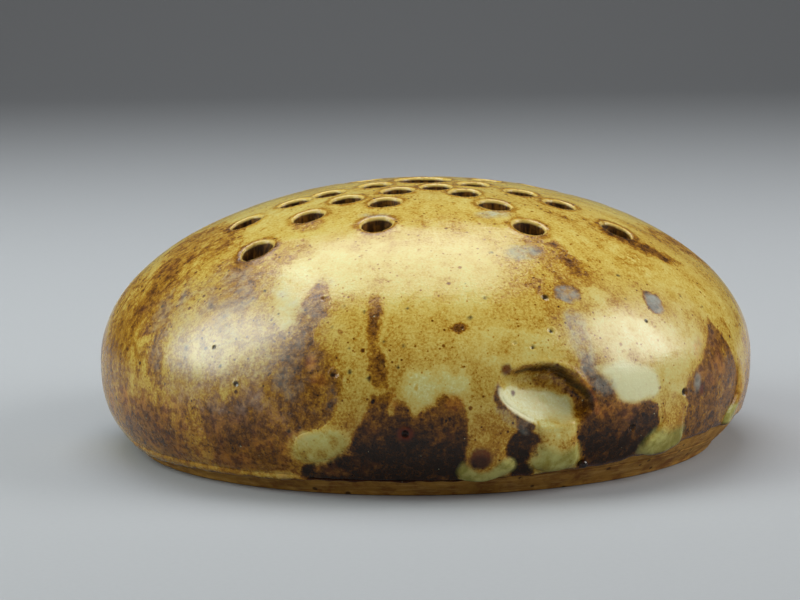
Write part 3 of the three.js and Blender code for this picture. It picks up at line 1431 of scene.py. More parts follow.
class Effects:
    """The shader node groups that the finishes share, each built once."""

    def __init__(self, tones: Tones) -> None:
        """Builds the groups from the tones.

        Args:
            tones: The colours of the surface.
        """
        self.tones = tones
        self.edge = self._wandering_edge()
        self.flow = self._flow()
        self.speckle = self._speckle()
        self.glaze = FiredSurface(self).board.tree

    def _wandering_edge(self) -> Tree:
        """A drawn depth turned into a mask whose edge wanders with a noise.

        Returns:
            The node group.
        """
        kinds = dict.fromkeys(("Depth", "Noise", "Wander", "Fade"), "Float")
        board, entry, result = group_board("wandering edge", kinds, {"Mask": "Float"})
        depth, noise, wander, fade = list(entry.outputs)[:4]
        centred = board.calc("SUBTRACT", noise, 0.5)
        pushed = board.calc("ADD", depth, board.calc("MULTIPLY", centred, wander))
        board.set_inputs(result, Mask=board.ramp(pushed, board.scale(fade, -1.0), fade))
        return board.tree

    def _flow(self) -> Tree:
        """Coordinates stretched down the wall, for the streaks in which the glaze ran.

        Returns:
            The node group.
        """
        board, _, result = group_board("flow", {}, {"Vector": "Vector"})
        x, y, z = board.split_axes(board.on_piece())
        squares = board.calc("ADD", board.calc("MULTIPLY", x, x), board.calc("MULTIPLY", y, y))
        blunt_radius = board.calc("ADD", board.calc("SQRT", squares), 0.012)
        girth, squeeze = 0.075, 0.26
        x, y = (board.scale(board.calc("DIVIDE", side, blunt_radius), girth) for side in (x, y))
        board.set_inputs(result, Vector=board.join_axes(x, y, board.scale(z, squeeze)))
        return board.tree

    def _speckle(self) -> Tree:
        """Round specks, each present or not by chance, with a hard or a soft edge.

        Returns:
            The node group.
        """
        kinds = {"Vector": "Vector"}
        kinds |= dict.fromkeys(("Scale", "Size", "Share", "Crispness"), "Float")
        board, entry, result = group_board("speckle", kinds, {"Mask": "Float"})
        vector, scale, size, share, crispness = list(entry.outputs)[:5]
        cells = board.cells(vector, scale)
        chance = board.add("ShaderNodeSeparateColor")
        board.set_inputs(chance, Color=cells.outputs["Color"])
        present = board.calc("LESS_THAN", chance.outputs[0], share)
        size = board.calc("MULTIPLY", size, board.ramp(chance.outputs[1], 0, 1, 0.45, 1.0))
        near = board.calc("SUBTRACT", size, cells.outputs["Distance"])
        crisp = board.calc("MULTIPLY", near, crispness, clamp=True)
        board.set_inputs(result, Mask=board.calc("MULTIPLY", crisp, present))
        return board.tree


class FiredSurface:
    """The whole fired surface: ash glaze of varying thickness over iron and clay."""

    def __init__(self, effects: Effects) -> None:
        """Draws the surface as a node group on the board.

        Args:
            effects: The shared node groups.
        """
        self.effects, self.tones = effects, effects.tones
        outputs = {"Color": "Color", "Roughness": "Float", "Lustre": "Float", "Height": "Float"}
        self.board, _, result = group_board("fired surface", {}, outputs)
        board = self.board
        self.spot = board.on_piece()
        self.x, self.y, self.up = board.split_axes(self.spot)
        ran = board.place(effects.flow).outputs["Vector"]
        self.cloud = board.noise(self.spot, 20, 2.0)
        self.broad = board.noise(ran, 5.0, 3.0, 0.5)
        self.hair = board.noise(ran, 1.2, 3.0, 0.6)
        self.ragged = board.noise(self.spot, 4.6, 7.0, 0.66, 0.25)
        self.mottle = board.noise(self.spot, 1.7, 5.0, 0.62)
        self.grain = board.noise(self.spot, 0.5, 2.0, 0.6)
        self.rim, self.above, self.below = map(board.carried, ("rim", "above_line", "below"))
        self.pins = self._specks(190.0, 0.06, 0.22, 40.0)
        self.grit = self._specks(420.0, 0.3, 0.35, 10.0)
        self.inside = board.ramp(board.shift(self.below, (self.mottle, 0.8)), 0.3, 0.75)
        edge, deep_inside = board.ramp(self.above, 0.12, -0.05), board.ramp(self.below, 4.4, 5.0)
        self.bare = board.calc("MAXIMUM", edge, deep_inside)
        squeezed = (board.scale(side, 0.12) for side in (self.x, self.y))
        self.trimmed = board.noise(board.join_axes(*squeezed, self.up), 0.6, 3.0, 0.6)
        self.masks: dict[Tint, Socket] = {}
        coat = self._coat()
        board.set_inputs(
            result,
            Color=self._colour(coat),
            Roughness=self._roughness(),
            Lustre=board.scale(self._mask(Tint.LUSTRE), 0.9),
            Height=self._height(coat),
        )

    def _mask(self, tint: Tint, pattern: Socket | None = None) -> Socket:
        """Returns where a tint shows, its edge broken by the ragged noise or another pattern."""
        self.masks[tint] = self.board.place(
            self.effects.edge,
            Depth=self.board.carried(tint.attribute),
            Noise=self.ragged if pattern is None else pattern,
            Wander=tint.wander,
            Fade=tint.fade,
        ).outputs["Mask"]
        return self.masks[tint]

    def _specks(self, scale: float, size: float, share: float, crispness: float) -> Socket:
        """Returns specks: how fine, how wide in their cells, how many, and how sharp."""
        return self.board.place(
            self.effects.speckle,
            Vector=self.spot,
            Scale=scale,
            Size=size,
            Share=share,
            Crispness=crispness,
        ).outputs["Mask"]

    def _busy(self, *tints: Tint) -> Socket:
        """Returns where any of the tints shows.

        Args:
            tints: The tints.

        Returns:
            The result's socket.
        """
        busy = self.masks[tints[0]]
        for tint in tints[1:]:
            busy = self.board.calc("MAXIMUM", busy, self.masks[tint])
        return busy

    def _coat(self) -> Socket:
        """Returns the thickness of the glaze, from 0 where it is black to 1 where it pools.

        Returns:
            The result's socket.
        """
        board, mottle, ragged, broad = self.board, self.mottle, self.ragged, self.broad
        coat = board.shift(
            board.ramp(self.up, 0.034, 0.054, 0.60, 0.66),
            (self.cloud, 0.34),
            (broad, 0.32),
            (self.hair, 0.14),
            (ragged, 0.16),
        )
        iron_level = board.ramp(self.up, 0.008, 0.024, 0.05, 0.37)
        honey_level = board.ramp(self.up, 0.004, 0.024, 0.47, 0.6)
        layers = (
            (Tint.DEEP, 0.92, 0.4, ((mottle, 0.66), (ragged, 0.6), (broad, 0.3))),
            (Tint.STRAW, 0.85, 0.8, ((ragged, 0.4),)),
            (Tint.BROWN, 0.95, 0.27, ((mottle, 0.6), (ragged, 0.5), (broad, 0.2))),
            (Tint.IRON, 0.97, iron_level, ((mottle, 0.5), (ragged, 0.4))),
            (Tint.HONEY, 1.0, honey_level, ((ragged, 0.5), (broad, 0.2))),
            (Tint.PALE, 0.95, 0.88, ((ragged, 0.5),)),
        )
        for tint, strength, level, patterns in layers:
            cover = board.scale(self._mask(tint), strength)
            coat = board.mix(cover, coat, board.shift(level, *patterns))
        far_rim = board.ramp(board.shift(self.rim, (ragged, 3.0)), 2.4, 0.9)
        ring = board.calc("MULTIPLY", far_rim, board.ramp(self.rim, 0.1, 0.7))
        return board.stack(coat, (ring, -0.15))

    def _colour(self, coat: Socket) -> Socket:
        """Returns the colour of the glaze, the hole walls and the clay, with painted glints.

        Args:
            coat: The thickness of the glaze.

        Returns:
            The result's socket.
        """
        board, tones, mottle, ragged = self.board, self.tones, self.mottle, self.ragged
        coat = board.stack(
            board.shift(coat, (mottle, 0.28), (self.grain, 0.48)),
            (self._specks(800.0, 0.28, 0.45, 8.0), -0.27),
            (self._specks(270.0, 0.16, 0.6, 14.0), -0.3),
            (board.ramp(mottle, 0.6, 0.7), -0.2),
            (board.ramp(ragged, 0.58, 0.7), -0.14),
        )
        colour = board.stops(coat, tones.by_thickness)
        rust = board.blend(board.ramp(mottle, 0.42, 0.6), tones.rust, tones.rust_bright)
        celadon = board.blend(board.ramp(ragged, 0.38, 0.62), tones.celadon, tones.celadon_light)
        # Grey-blue tone: real bloom, and painted sheen on the dent's lip and under the left sheen.
        bloom = board.blend(board.ramp(ragged, 0.36, 0.5), tones.lilac, tones.bloom)
        broken = board.ramp(mottle, 0.38, 0.6, 0.5, 1.0)
        self.masks[Tint.BLOOM] = board.calc("MULTIPLY", self._mask(Tint.BLOOM), broken)
        for cover, strength, over in (
            (self._mask(Tint.RUST), 0.62, rust),
            (self._mask(Tint.CELADON), 0.88, celadon),
            (self.masks[Tint.BLOOM], 0.72, bloom),
            (self._mask(Tint.CREAM), 0.72, tones.chalk),
            (self._mask(Tint.EMBER, mottle), 0.9, tones.ember),
        ):
            colour = board.blend(board.scale(cover, strength), colour, over)
        soot = board.scale(self._mask(Tint.SOOT, mottle), 0.9)
        dark = board.calc("MAXIMUM", soot, board.scale(self.pins, 0.85))
        colour = board.blend(dark, colour, tones.soot)
        busy = self._busy(Tint.IRON, Tint.BROWN, Tint.DEEP)
        # Painted glints: fine pale specks on the dark glazes that stand in for sparkles of light.
        painted_glints = board.calc("MULTIPLY", self._specks(560.0, 0.12, 0.4, 24.0), busy)
        colour = board.blend(board.scale(painted_glints, 0.5), colour, tones.chalk)
        foot_edge = board.calc(
            "MULTIPLY",
            board.ramp(board.shift(self.above, (mottle, 1.4)), 1.5, 0.5),
            board.ramp(self.above, -0.2, 0.2),
        )
        colour = board.blend(board.scale(foot_edge, 0.85), colour, tones.iron_red)
        lip = board.calc(
            "MULTIPLY",
            board.ramp(board.shift(self.rim, (self.grain, 0.8)), 0.6, 0.22),
            board.ramp(mottle, 0.36, 0.52, 0.3, 1.0),
        )
        colour = board.blend(board.scale(lip, 0.8), colour, tones.lip_gold)
        upright = board.join_axes(self.x, self.y, board.scale(self.up, 0.12))
        scored = board.shift(board.noise(upright, 0.55, 2.0, 0.6), (mottle, 1.3))
        wall = board.blend(board.ramp(scored, 0.3, 0.9), tones.wall_dark, tones.wall_gold)
        colour = board.blend(self.inside, colour, wall)
        clay = board.blend(board.ramp(ragged, 0.36, 0.62), tones.clay_dark, tones.clay)
        clay = board.blend(board.ramp(self.trimmed, 0.5, 0.66, 0, 0.4), clay, tones.clay_light)
        clay = board.blend(board.scale(self.grit, 0.8), clay, tones.wall_dark)
        return board.blend(self.bare, colour, clay)

    def _roughness(self) -> Socket:
        """Returns the roughness: glossy pools, duller mottling and grey patches, matt clay."""
        rough = self.board.stack(
            self.board.ramp(self.mottle, 0.3, 0.7, 0.13, 0.2),
            (self._busy(Tint.BROWN, Tint.DEEP), 0.12),
            (self.masks[Tint.BLOOM], 0.18),
            (self.masks[Tint.PALE], 0.14),
            (self.inside, 0.2),
            (self.masks[Tint.CELADON], -0.07),
        )
        return self.board.mix(self.bare, rough, 0.8)

    def _height(self, coat: Socket) -> Socket:
        """Returns the fine relief in millimetres, for the bump.

        Args:
            coat: The thickness of the glaze.

        Returns:
            The result's socket.
        """
        board = self.board
        cells = board.cells(self.spot, 560.0, feature="SMOOTH_F1").outputs["Distance"]
        busy = self._busy(Tint.IRON, Tint.BROWN, Tint.DEEP)
        glaze = board.stack(
            board.scale(coat, 0.09),
            (self.mottle, 0.035),
            (self.grain, 0.03),
            (self.trimmed, 0.04),
            (self.pins, -0.16),
            (board.calc("MULTIPLY", cells, busy), -0.06),
        )
        gritty = board.scale(board.noise(self.spot, 0.5, 3.0, 0.7), 0.14)
        clay = board.stack(gritty, (self.grit, -0.12), (self.trimmed, 0.12))
        return board.mix(self.bare, glaze, clay)


@dataclass(frozen=True)
class FiredFinish:
    """A finish of the fired surface, with its own gloss."""

    name: str
    glass_index: float = 1.36
    lustre_index: float = 1.75
    lustre_roughness: float = 0.36

    def make(self, effects: Effects) -> Material:
        """Builds the material from the shared effects.

        Args:
            effects: The shared node groups.

        Returns:
            The material.
        """
        material, board, shader = material_board(self.name)
        surface = board.place(effects.glaze).outputs
        bump = board.add("ShaderNodeBump")
        board.set_inputs(bump, Strength=1.0, Distance=MM, Height=surface["Height"])
        board.set_inputs(
            shader,
            Base_Color=surface["Color"],
            Roughness=surface["Roughness"],
            Normal=bump.outputs["Normal"],
            IOR=self.glass_index,
            Coat_Weight=surface["Lustre"],
            Coat_Roughness=self.lustre_roughness,
            Coat_IOR=self.lustre_index,
        )
        return material


@dataclass(frozen=True)
class BlackGlass:
    """Black glass with a hint of brown where it is thin."""

    name: str = "black glass"

    def make(self, effects: Effects) -> Material:
        """Builds the material.

        Args:
            effects: The shared node groups.

        Returns:
            The material.
        """
        material, board, shader = material_board(self.name)
        cloud = board.noise(board.on_piece(), 0.8, 2.0)
        thin = board.ramp(cloud, 0.4, 0.7, 0, 0.5)
        colour = board.blend(thin, effects.tones.soot, effects.tones.iron_red)
        rough = board.ramp(cloud, 0.3, 0.7, 0.06, 0.14)
        board.set_inputs(shader, Base_Color=colour, Roughness=rough)
        return material


@dataclass(frozen=True)
class SoftBox:
    """A rectangular lamp that looks at the object."""

    name: str
    middle: tuple[float, float, float]
    size: tuple[float, float]
    radiance: float
    colour: tuple[float, float, float] = (1.0, 1.0, 1.0)
    target: tuple[float, float, float] = (0.0, 0.0, 0.03)

    def make(self) -> Piece:
        """Adds the lamp.

        Returns:
            The lamp.
        """
        lamp = bpy.data.lights.new(self.name, "AREA")
        lamp.shape = "RECTANGLE"
        lamp.size, lamp.size_y = self.size
        lamp.energy = self.radiance * math.pi * self.size[0] * self.size[1]
        lamp.color = self.colour
        holder = bpy.data.objects.new(self.name, lamp)
        holder.location = self.middle
        aim = Vector(self.target) - Vector(self.middle)
        holder.rotation_euler = aim.to_track_quat("-Z", "Y").to_euler()
        holder.visible_camera = False
        bpy.context.scene.collection.objects.link(holder)
        return holder


@dataclass
class Studio:
    """The pale floor and backdrop, the lamps and the camera at the photograph's angle."""

    frame_width: int = 800
    focal_pixels: float = 2610.84
    camera_back: float = 600.0
    camera_height: float = 116.19
    pitch: float = 0.139354
    yaw: float = -0.009498
    roll: float = -0.013855
    floor_tone: Colour = tone(160, 160, 163)
    ambient: float = 0.13

    def build(self) -> None:
        """Sets up everything round the object."""
        self._sweep()
        self._world()
        self._camera()
        self._lamps()
        bpy.context.scene.view_settings.view_transform = "Standard"

    def _sweep(self) -> None:
        """Models the floor that curves up into the backdrop."""
        deselect()
        bpy.ops.mesh.primitive_plane_add(size=6.0, location=(0, -0.8, 0))
        sweep = bpy.context.object
        sweep.name = "floor"
        bpy.ops.object.transform_apply(location=True)
        select_parts(sweep, Part.EDGE, self._back_edges(sweep))
        bpy.ops.mesh.extrude_region_move(TRANSFORM_OT_translate={"value": (0, 0, 3.0)})
        set_mode("OBJECT")
        select_parts(sweep, Part.EDGE, self._back_edges(sweep))
        bpy.ops.mesh.bevel(offset=0.9, segments=16)
        set_mode("OBJECT")
        bpy.ops.object.shade_smooth()
        material, board, shader = material_board("pale paper")
        grain = board.noise(board.on_piece(), 1.2, 2.0)
        darker = tuple(c * 0.96 for c in self.floor_tone[:3]) + (1.0,)
        paper = board.blend(grain, darker, self.floor_tone)
        board.set_inputs(shader, Base_Color=paper, Roughness=0.9, Specular_IOR_Level=0.1)
        sweep.data.materials.append(material)

    def _back_edges(self, sweep: Piece) -> list[bool]:
        """Tells which edges lie on the floor along its far side."""
        places = [vertex.co for vertex in sweep.data.vertices]
        ends = [[places[i] for i in edge.vertices] for edge in sweep.data.edges]
        return [all(end.y > 2 and end.z < 0.1 for end in pair) for pair in ends]

    def _world(self) -> None:
        """Sets a plain grey surround."""
        world = bpy.data.worlds.new("surround")
        world.use_nodes = True
        board = NodeBoard(world.node_tree)
        glow = board.add("ShaderNodeBackground")
        board.set_inputs(glow, Color=(1.0, 1.0, 1.0, 1.0), Strength=self.ambient)
        board.set_inputs(board.add("ShaderNodeOutputWorld"), Surface=glow.outputs[0])
        bpy.context.scene.world = world

    def _camera(self) -> None:
        """Places the camera where the photograph was taken from."""
        lens = bpy.data.cameras.new("camera")
        lens.sensor_width = 36.0
        lens.lens = self.focal_pixels / self.frame_width * lens.sensor_width
        lens.clip_start, lens.clip_end = 0.01, 20.0
        camera = bpy.data.objects.new("camera", lens)
        spot = (0, -self.camera_back * MM, self.camera_height * MM)
        camera.matrix_world = (
            Matrix.Translation(spot)
            @ Matrix.Rotation(-self.yaw, 4, "Z")
            @ Matrix.Rotation(math.pi / 2 - self.pitch, 4, "X")
            @ Matrix.Rotation(self.roll, 4, "Z")
        )
        bpy.context.scene.collection.objects.link(camera)
        bpy.context.scene.camera = camera

    def _lamps(self) -> None:
        """Hangs the overhead lamp, and stands a panel at each side and a fill in front."""
        overhead = (-0.09, 0.30, 0.76)
        below = (-0.09, 0.30, 0.0)
        SoftBox("overhead", overhead, (0.62, 0.62), 4.7, (0.92, 0.98, 1.0), below).make()
        SoftBox("left panel", (-0.71, -0.07, 0.47), (0.42, 0.66), 5.7, (0.90, 1.0, 0.95)).make()
        SoftBox("right panel", (0.74, -0.07, 0.46), (0.50, 0.54), 6.0, (0.98, 1.0, 0.96)).make()
        fill = SoftBox("front fill", (0.0, -1.5, 1.1), (1.4, 1.0), 1.6).make()
        fill.visible_glossy = False


STEM_RING_PITCH = 12.4
STEM_HOLE_RADIUS = 3.4
CENTRE_HOLE_RADIUS = 6.25
FRONT_STEM_HOLES: tuple[Place, ...] = (
    (-61, 1.01), (-66, 1.89), (-67, 2.55), (-66, 3.5), (-42, 2.07), (-43, 2.99), (-44, 4.2),
    (-21, 1.29), (-19, 2.11), (-15, 3.17), (13.5, 0.99), (27.5, 1.61), (31, 2.45), (32, 3.47),
    (60.5, 1.06), (63.5, 1.98), (62.5, 2.77), (61.5, 3.92),
)  # fmt: skip
BACK_SPOKES = (108, 151, 194, 237)
BACK_RINGS = (1.25, 2.26, 3.3)


def stem_holes() -> list[StemHole]:
    """Returns the centre hole and the stem holes round it.

    Returns:
        The holes, the centre one first.
    """
    holes = [StemHole(0, 0, CENTRE_HOLE_RADIUS, 0)]
    places = list(FRONT_STEM_HOLES)
    places += [(spoke, ring) for spoke in BACK_SPOKES for ring in BACK_RINGS]
    for number, (azimuth, rings) in enumerate(places, start=1):
        holes.append(StemHole(azimuth, rings * STEM_RING_PITCH, STEM_HOLE_RADIUS, number))
    return holes


GLAZE_LINE = GlazeLine(
    turns=(
        (-66, 1.1), (-53, 2.1), (-35, 2.7), (-18.6, 3.2), (2, 3.5), (16, 3.9), (23, 4.5),
        (31, 4.7), (39.5, 5.5), (49, 7), (58.5, 7.6), (70, 7.8), (100, 7), (135, 5.2),
        (180, 3.8), (-150, 3.2), (-115, 2.2), (-90, 1.4),
    )
)  # fmt: skip

THUMB_DENT = ThumbDent(
    azimuth=19.1,
    height=22.1,
    depth=4.3,
    reach=(
        (0, 9.9), (17, 8.3), (43, 7.1), (72, 6.3), (111, 6.4), (137, 8.0), (151, 9.6),
        (162, 10.3), (172, 10.3), (188, 9.4), (206, 7.8), (231, 6.7), (256, 6.6), (288, 7.2),
        (311, 8.6), (326, 10.4), (338, 11.3), (348, 11.3),
    ),
)  # fmt: skip

CRATERS = [
    Crater(22.8, 40.4, 0.75, 0.3, 0.06),
    Crater(21.9, 34.3, 0.65, 0.3, 0.06),
    Crater(18.0, 31.4, 0.55, 0.3, 0.05),
    Crater(15.0, 32.4, 0.45, 0.2, 0.05),
    Crater(-3.3, 14.8, 0.8, 0.6, 0.12),
    Crater(47.4, 18.6, 0.8, 0.9, 0.15),
    Crater(-14.6, 26.9, 0.8, 0.35, 0.15),
    Crater(35.4, 12.8, 0.8, 0.4, 0.12),
    Crater(-19.2, 40.9, 0.55, 0.3, 0.06),
    Crater(-37.9, 30.5, 0.45, 0.2, 0.05),
    Crater(-32.0, 23.7, 0.5, 0.25, 0.08),
    Crater(42.0, 34.2, 0.4, 0.2, 0.05),
]

RUN_OUTLINES: dict[str, tuple[Place, ...]] = {
    "run_front": (
        (8.2, 18.9), (7.2, 17.3), (6.7, 15.2), (6.6, 13.1), (6.4, 11.1), (6.2, 9.3), (5.3, 8),
        (4.9, 6.3), (5.8, 4.6), (7.6, 4), (9.6, 3.9), (11.3, 4.4), (13, 5.3), (14.3, 6.3),
        (14.5, 7.6), (13.7, 8.7), (12.8, 9.7), (12.8, 11.2), (13.3, 13.2), (14, 15),
        (14.4, 16.6), (13.4, 18.2), (11.5, 19.2),
    ),
    "run_dent": (
        (18, 17.4), (17.9, 14.8), (18.2, 12.7), (18.3, 10.6), (17.8, 9.1), (17.4, 7.5),
        (17.9, 6.2), (19.7, 5.3), (22, 5.2), (23.9, 5.6), (25.2, 6.4), (25.5, 8),
        (25, 10.6), (24.5, 13), (24.3, 15.4), (23.8, 17.4), (21, 18),
    ),
    "run_right": (
        (41.4, 18.8), (41.7, 15.7), (41.9, 13.4), (41, 11.5), (39.4, 10.1), (38.5, 8.6),
        (38.8, 6.8), (41, 5.5), (43.5, 4.8), (45.6, 5.3), (47.2, 6.8), (48.1, 8.6),
        (47.8, 11.2), (47.6, 13.6), (47.9, 16), (46.6, 17.8), (44, 19),
    ),
    "run_far_right": (
        (63.2, 29), (65, 27), (67, 24.4), (69, 21.4), (70.4, 18.4), (70.4, 15.6),
        (69.2, 13), (67.6, 11), (66.6, 9), (64.9, 7.6), (63, 8), (63.4, 10.2),
        (65, 12.2), (66.4, 14.2), (67, 16.8), (66.6, 19.6), (65.4, 22.4), (64.2, 25),
    ),
    "run_left": (
        (-14.6, 32), (-13.6, 29.6), (-13.2, 26.6), (-13.4, 23), (-14.2, 19.8),
        (-15.6, 16.9), (-18, 15.3), (-20.6, 13.9), (-21.6, 12.4), (-21.4, 10),
        (-20.2, 8), (-17.6, 8.2), (-15.2, 9.3), (-13.3, 10.9), (-12.1, 13), (-11.4, 15.4),
        (-10.3, 17.6), (-9.4, 20.2), (-8.9, 23), (-9.2, 26), (-10.4, 29),
        (-12.4, 31.6),
    ),
    "roll_left": (
        (-67, 5), (-60, 4.3), (-50, 4.1), (-40, 4.2), (-31, 4.3), (-24, 4.6),
        (-21.2, 4.2), (-21.8, 3.3), (-28, 3), (-36, 2.7), (-45, 2.4), (-53, 2.4),
        (-58, 2.5), (-64, 2.6), (-68, 3.4),
    ),
    "pool_dent": (
        (14.2, 24.5), (15.6, 24), (17.5, 23.1), (20.1, 22.4), (22.5, 21.4), (24.7, 20.4),
        (25.2, 18.9), (24.9, 17.3), (24.2, 16.2), (22.2, 15.9), (20, 16), (18.1, 16.3),
        (16.5, 17.2), (14.7, 18.7), (13, 20.2), (12.2, 21.9), (12.9, 23.6),
    ),
}  # fmt: skip

DARK_FIELD: tuple[Place, ...] = (
    (-8.6, 23.1), (-7, 22.7), (-5.4, 23.1), (-5.3, 21.4), (-6, 19.4), (-5, 18.7), (-5.2, 20.4),
    (-4.4, 21.8), (-3.2, 21.7), (-2.5, 20.2), (-2.4, 18.5), (-1.2, 18.2), (-0.9, 19.8),
    (0.4, 20.9), (1.3, 21.6), (1.6, 22.9), (3.2, 23.1), (4.7, 22.5), (5.8, 20.8), (6.2, 18.5),
    (6.5, 16.4), (6.8, 13.4), (6.6, 9.8), (6.4, 7.6), (5.4, 6), (5, 3), (-4.6, 3), (-13.2, 2.8),
    (-20.5, 2.6), (-21.8, 4.4), (-20.6, 7.3), (-17.9, 8.3), (-15.5, 9.3), (-13.6, 10.8),
    (-12.2, 12.8), (-11.5, 15.2), (-10.4, 17.3), (-9.4, 20.2),
)  # fmt: skip
RIGHT_FIELD: tuple[Place, ...] = (
    (24.8, 15.4), (24.6, 13.5), (25.4, 10.5), (25.8, 8.2), (26, 5.4), (29, 5), (34, 5.1),
    (39.4, 5.6), (39, 7.9), (39.6, 9.5), (40.9, 10.8), (41.4, 12.9), (41.2, 15.3), (40.2, 17.3),
    (38.8, 18.6), (37.2, 18.5), (35.6, 17.9), (33.9, 18.6), (32.3, 19.5), (30.7, 18.9),
    (29.2, 18.1), (27.7, 17.6), (26.2, 17),
)  # fmt: skip
RIGHT_PATCH: tuple[Place, ...] = (
    (59.9, 31.8), (60.9, 29.8), (62.4, 27.6), (64, 25.2), (65.6, 22), (67.2, 19), (67.4, 16.5),
    (66.8, 14.2), (65.2, 12.4), (63.8, 10.6), (63.4, 7.6), (59.3, 7.6), (55.3, 7.4), (51.9, 7),
    (48.9, 6.8), (47.8, 8.8), (47.9, 11.2), (48.2, 13.4), (48.5, 15.5), (47.8, 17.8), (48.3, 19.9),
    (49.6, 21.9), (51.6, 23.4), (53.4, 24.9), (54.9, 26.6), (56.6, 28.4), (58.4, 30.4),
)  # fmt: skip
LANCE: tuple[Place, ...] = (
    (-21, 44.4), (-22, 43.4), (-22.7, 41.9), (-23.3, 39.2), (-23.4, 36.6), (-22.8, 34.2),
    (-23.2, 31.6), (-24.4, 28.4), (-25.6, 24.4), (-26.8, 20.4), (-26, 16.7), (-23.6, 14.4),
    (-21.8, 12.8), (-20.4, 14.2), (-17.6, 15.3), (-15.6, 16.6), (-14.5, 19.2), (-13.9, 23.3),
    (-14, 26.4), (-15, 28.6), (-15.8, 30.8), (-18.2, 32.7), (-19, 34.2), (-18.6, 36.4),
    (-17.5, 38.2), (-17.5, 40.4), (-19, 43),
)  # fmt: skip

LOW_LEFT: tuple[Place, ...] = (
    (-71, 13.9), (-58.7, 17.8), (-50.1, 18.7), (-42.6, 20.6), (-35.1, 21.4), (-27, 22.5),
    (-24.2, 14.7), (-20.6, 11.8), (-21.6, 4.4), (-38.5, 3.4), (-59.1, 3.2), (-70.8, 8.4),
)  # fmt: skip
LEFT_BAND: tuple[Place, ...] = (
    (-68.9, 39.4), (-74.8, 43.6), (-70.5, 46.4), (-59.3, 42.6), (-53.8, 37.2), (-49.8, 29.6),
    (-48.2, 20.4), (-50.1, 15.7), (-53.2, 24.9), (-57.8, 32.4),
)  # fmt: skip
FOOT_DARK: tuple[Place, ...] = (
    (13.3, 13.2), (15.4, 14.9), (18.2, 13.6), (18.8, 10.6), (18.2, 7.6), (18, 4.6), (14.8, 4.3),
    (13.4, 7), (12.8, 10),
)  # fmt: skip
RIGHT_DARK: tuple[Place, ...] = (
    (46.8, 13.4), (49.9, 16.8), (53.6, 19.2), (58.8, 19.5), (65.6, 17.5), (65.2, 13.1),
    (63.4, 9.3), (62.8, 7), (55, 6.8), (49.4, 6.6), (47.8, 9.4),
)  # fmt: skip
POOL_FRONT: tuple[Place, ...] = (
    (-3, 26.8), (-1.1, 27.6), (1.9, 27.5), (5, 27.1), (6.7, 25.9), (6.6, 24.5), (4.9, 23.3),
    (2.6, 23.2), (1.1, 21.7), (-0.4, 20.9), (-1.6, 20.1), (-2.6, 21.3), (-3.2, 23.7),
)  # fmt: skip
POOL_RIGHT: tuple[Place, ...] = (
    (28.9, 26.2), (31.6, 26.9), (34.7, 26.8), (37.9, 26), (40.3, 24.2), (41.2, 21.3), (40.4, 19.2),
    (37.8, 18.8), (34.9, 18.7), (32.9, 19.7), (31.9, 22.2), (30.4, 24.6),
)  # fmt: skip
BEAD_FRONT: tuple[Place, ...] = (
    (6.1, 8.6), (5.2, 7.6), (4.9, 6), (5.9, 4.3), (7.6, 3.6), (9.6, 3.5), (11.3, 4), (13, 5),
    (14.5, 6.2), (14.6, 7.8), (13.6, 8.7), (12, 8.8), (10.6, 7), (9.2, 6.4), (7.6, 7),
)  # fmt: skip
BEAD_DENT: tuple[Place, ...] = (
    (18.6, 11), (18.3, 9.6), (17.6, 8.2), (17.3, 7), (18.3, 5.6), (20.3, 5), (22.3, 5),
    (24.2, 5.5), (25.5, 6.6), (25.6, 8.4), (25, 10.8), (23.4, 10.2), (21.8, 9.6), (20, 10.6),
)  # fmt: skip
BEAD_RIGHT: tuple[Place, ...] = (
    (41.2, 11.6), (39.6, 10.3), (38.3, 8.6), (38.5, 6.6), (41, 5.1), (43.5, 4.4), (45.8, 5),
    (47.4, 6.6), (48.2, 8.6), (47.8, 11), (45.8, 11.6), (43.4, 11),
)  # fmt: skip
BEAD_LEFT: tuple[Place, ...] = (
    (-21.6, 11), (-19.8, 13.1), (-17.2, 14.2), (-14.8, 14.6), (-13.3, 13.8), (-13, 12.2),
    (-14.1, 10.3), (-16.6, 8.4), (-19.5, 7.9), (-21.5, 8.9),
)  # fmt: skip

DENT_BAND: tuple[Place, ...] = (
    (11.5, 24.3), (11.9, 21.8), (12.8, 20.3), (14.1, 18.5), (15.8, 16.9), (17.6, 15.6), (16.6, 14),
    (14.6, 15.4), (12.6, 17.3), (11.3, 19.5), (10.7, 22.1),
)  # fmt: skip
LEFT_SHEEN: tuple[Place, ...] = (
    (-57.1, 37.8), (-51.1, 42.2), (-40.4, 44), (-27.6, 43.1), (-20, 38.6), (-18.5, 31.9),
    (-20.1, 25.4), (-26.5, 21), (-33.1, 19.4), (-41.3, 19.7), (-47.6, 22.7), (-52.4, 30.2),
)  # fmt: skip
RIGHT_SHEEN: tuple[Place, ...] = (
    (29.7, 39.1), (39.9, 41.1), (50.8, 38.3), (57.1, 32.7), (52.5, 26.7), (47.3, 21.2),
    (40.1, 19.8), (32.9, 23.4), (28.2, 28.8), (26.6, 34.1),
)  # fmt: skip

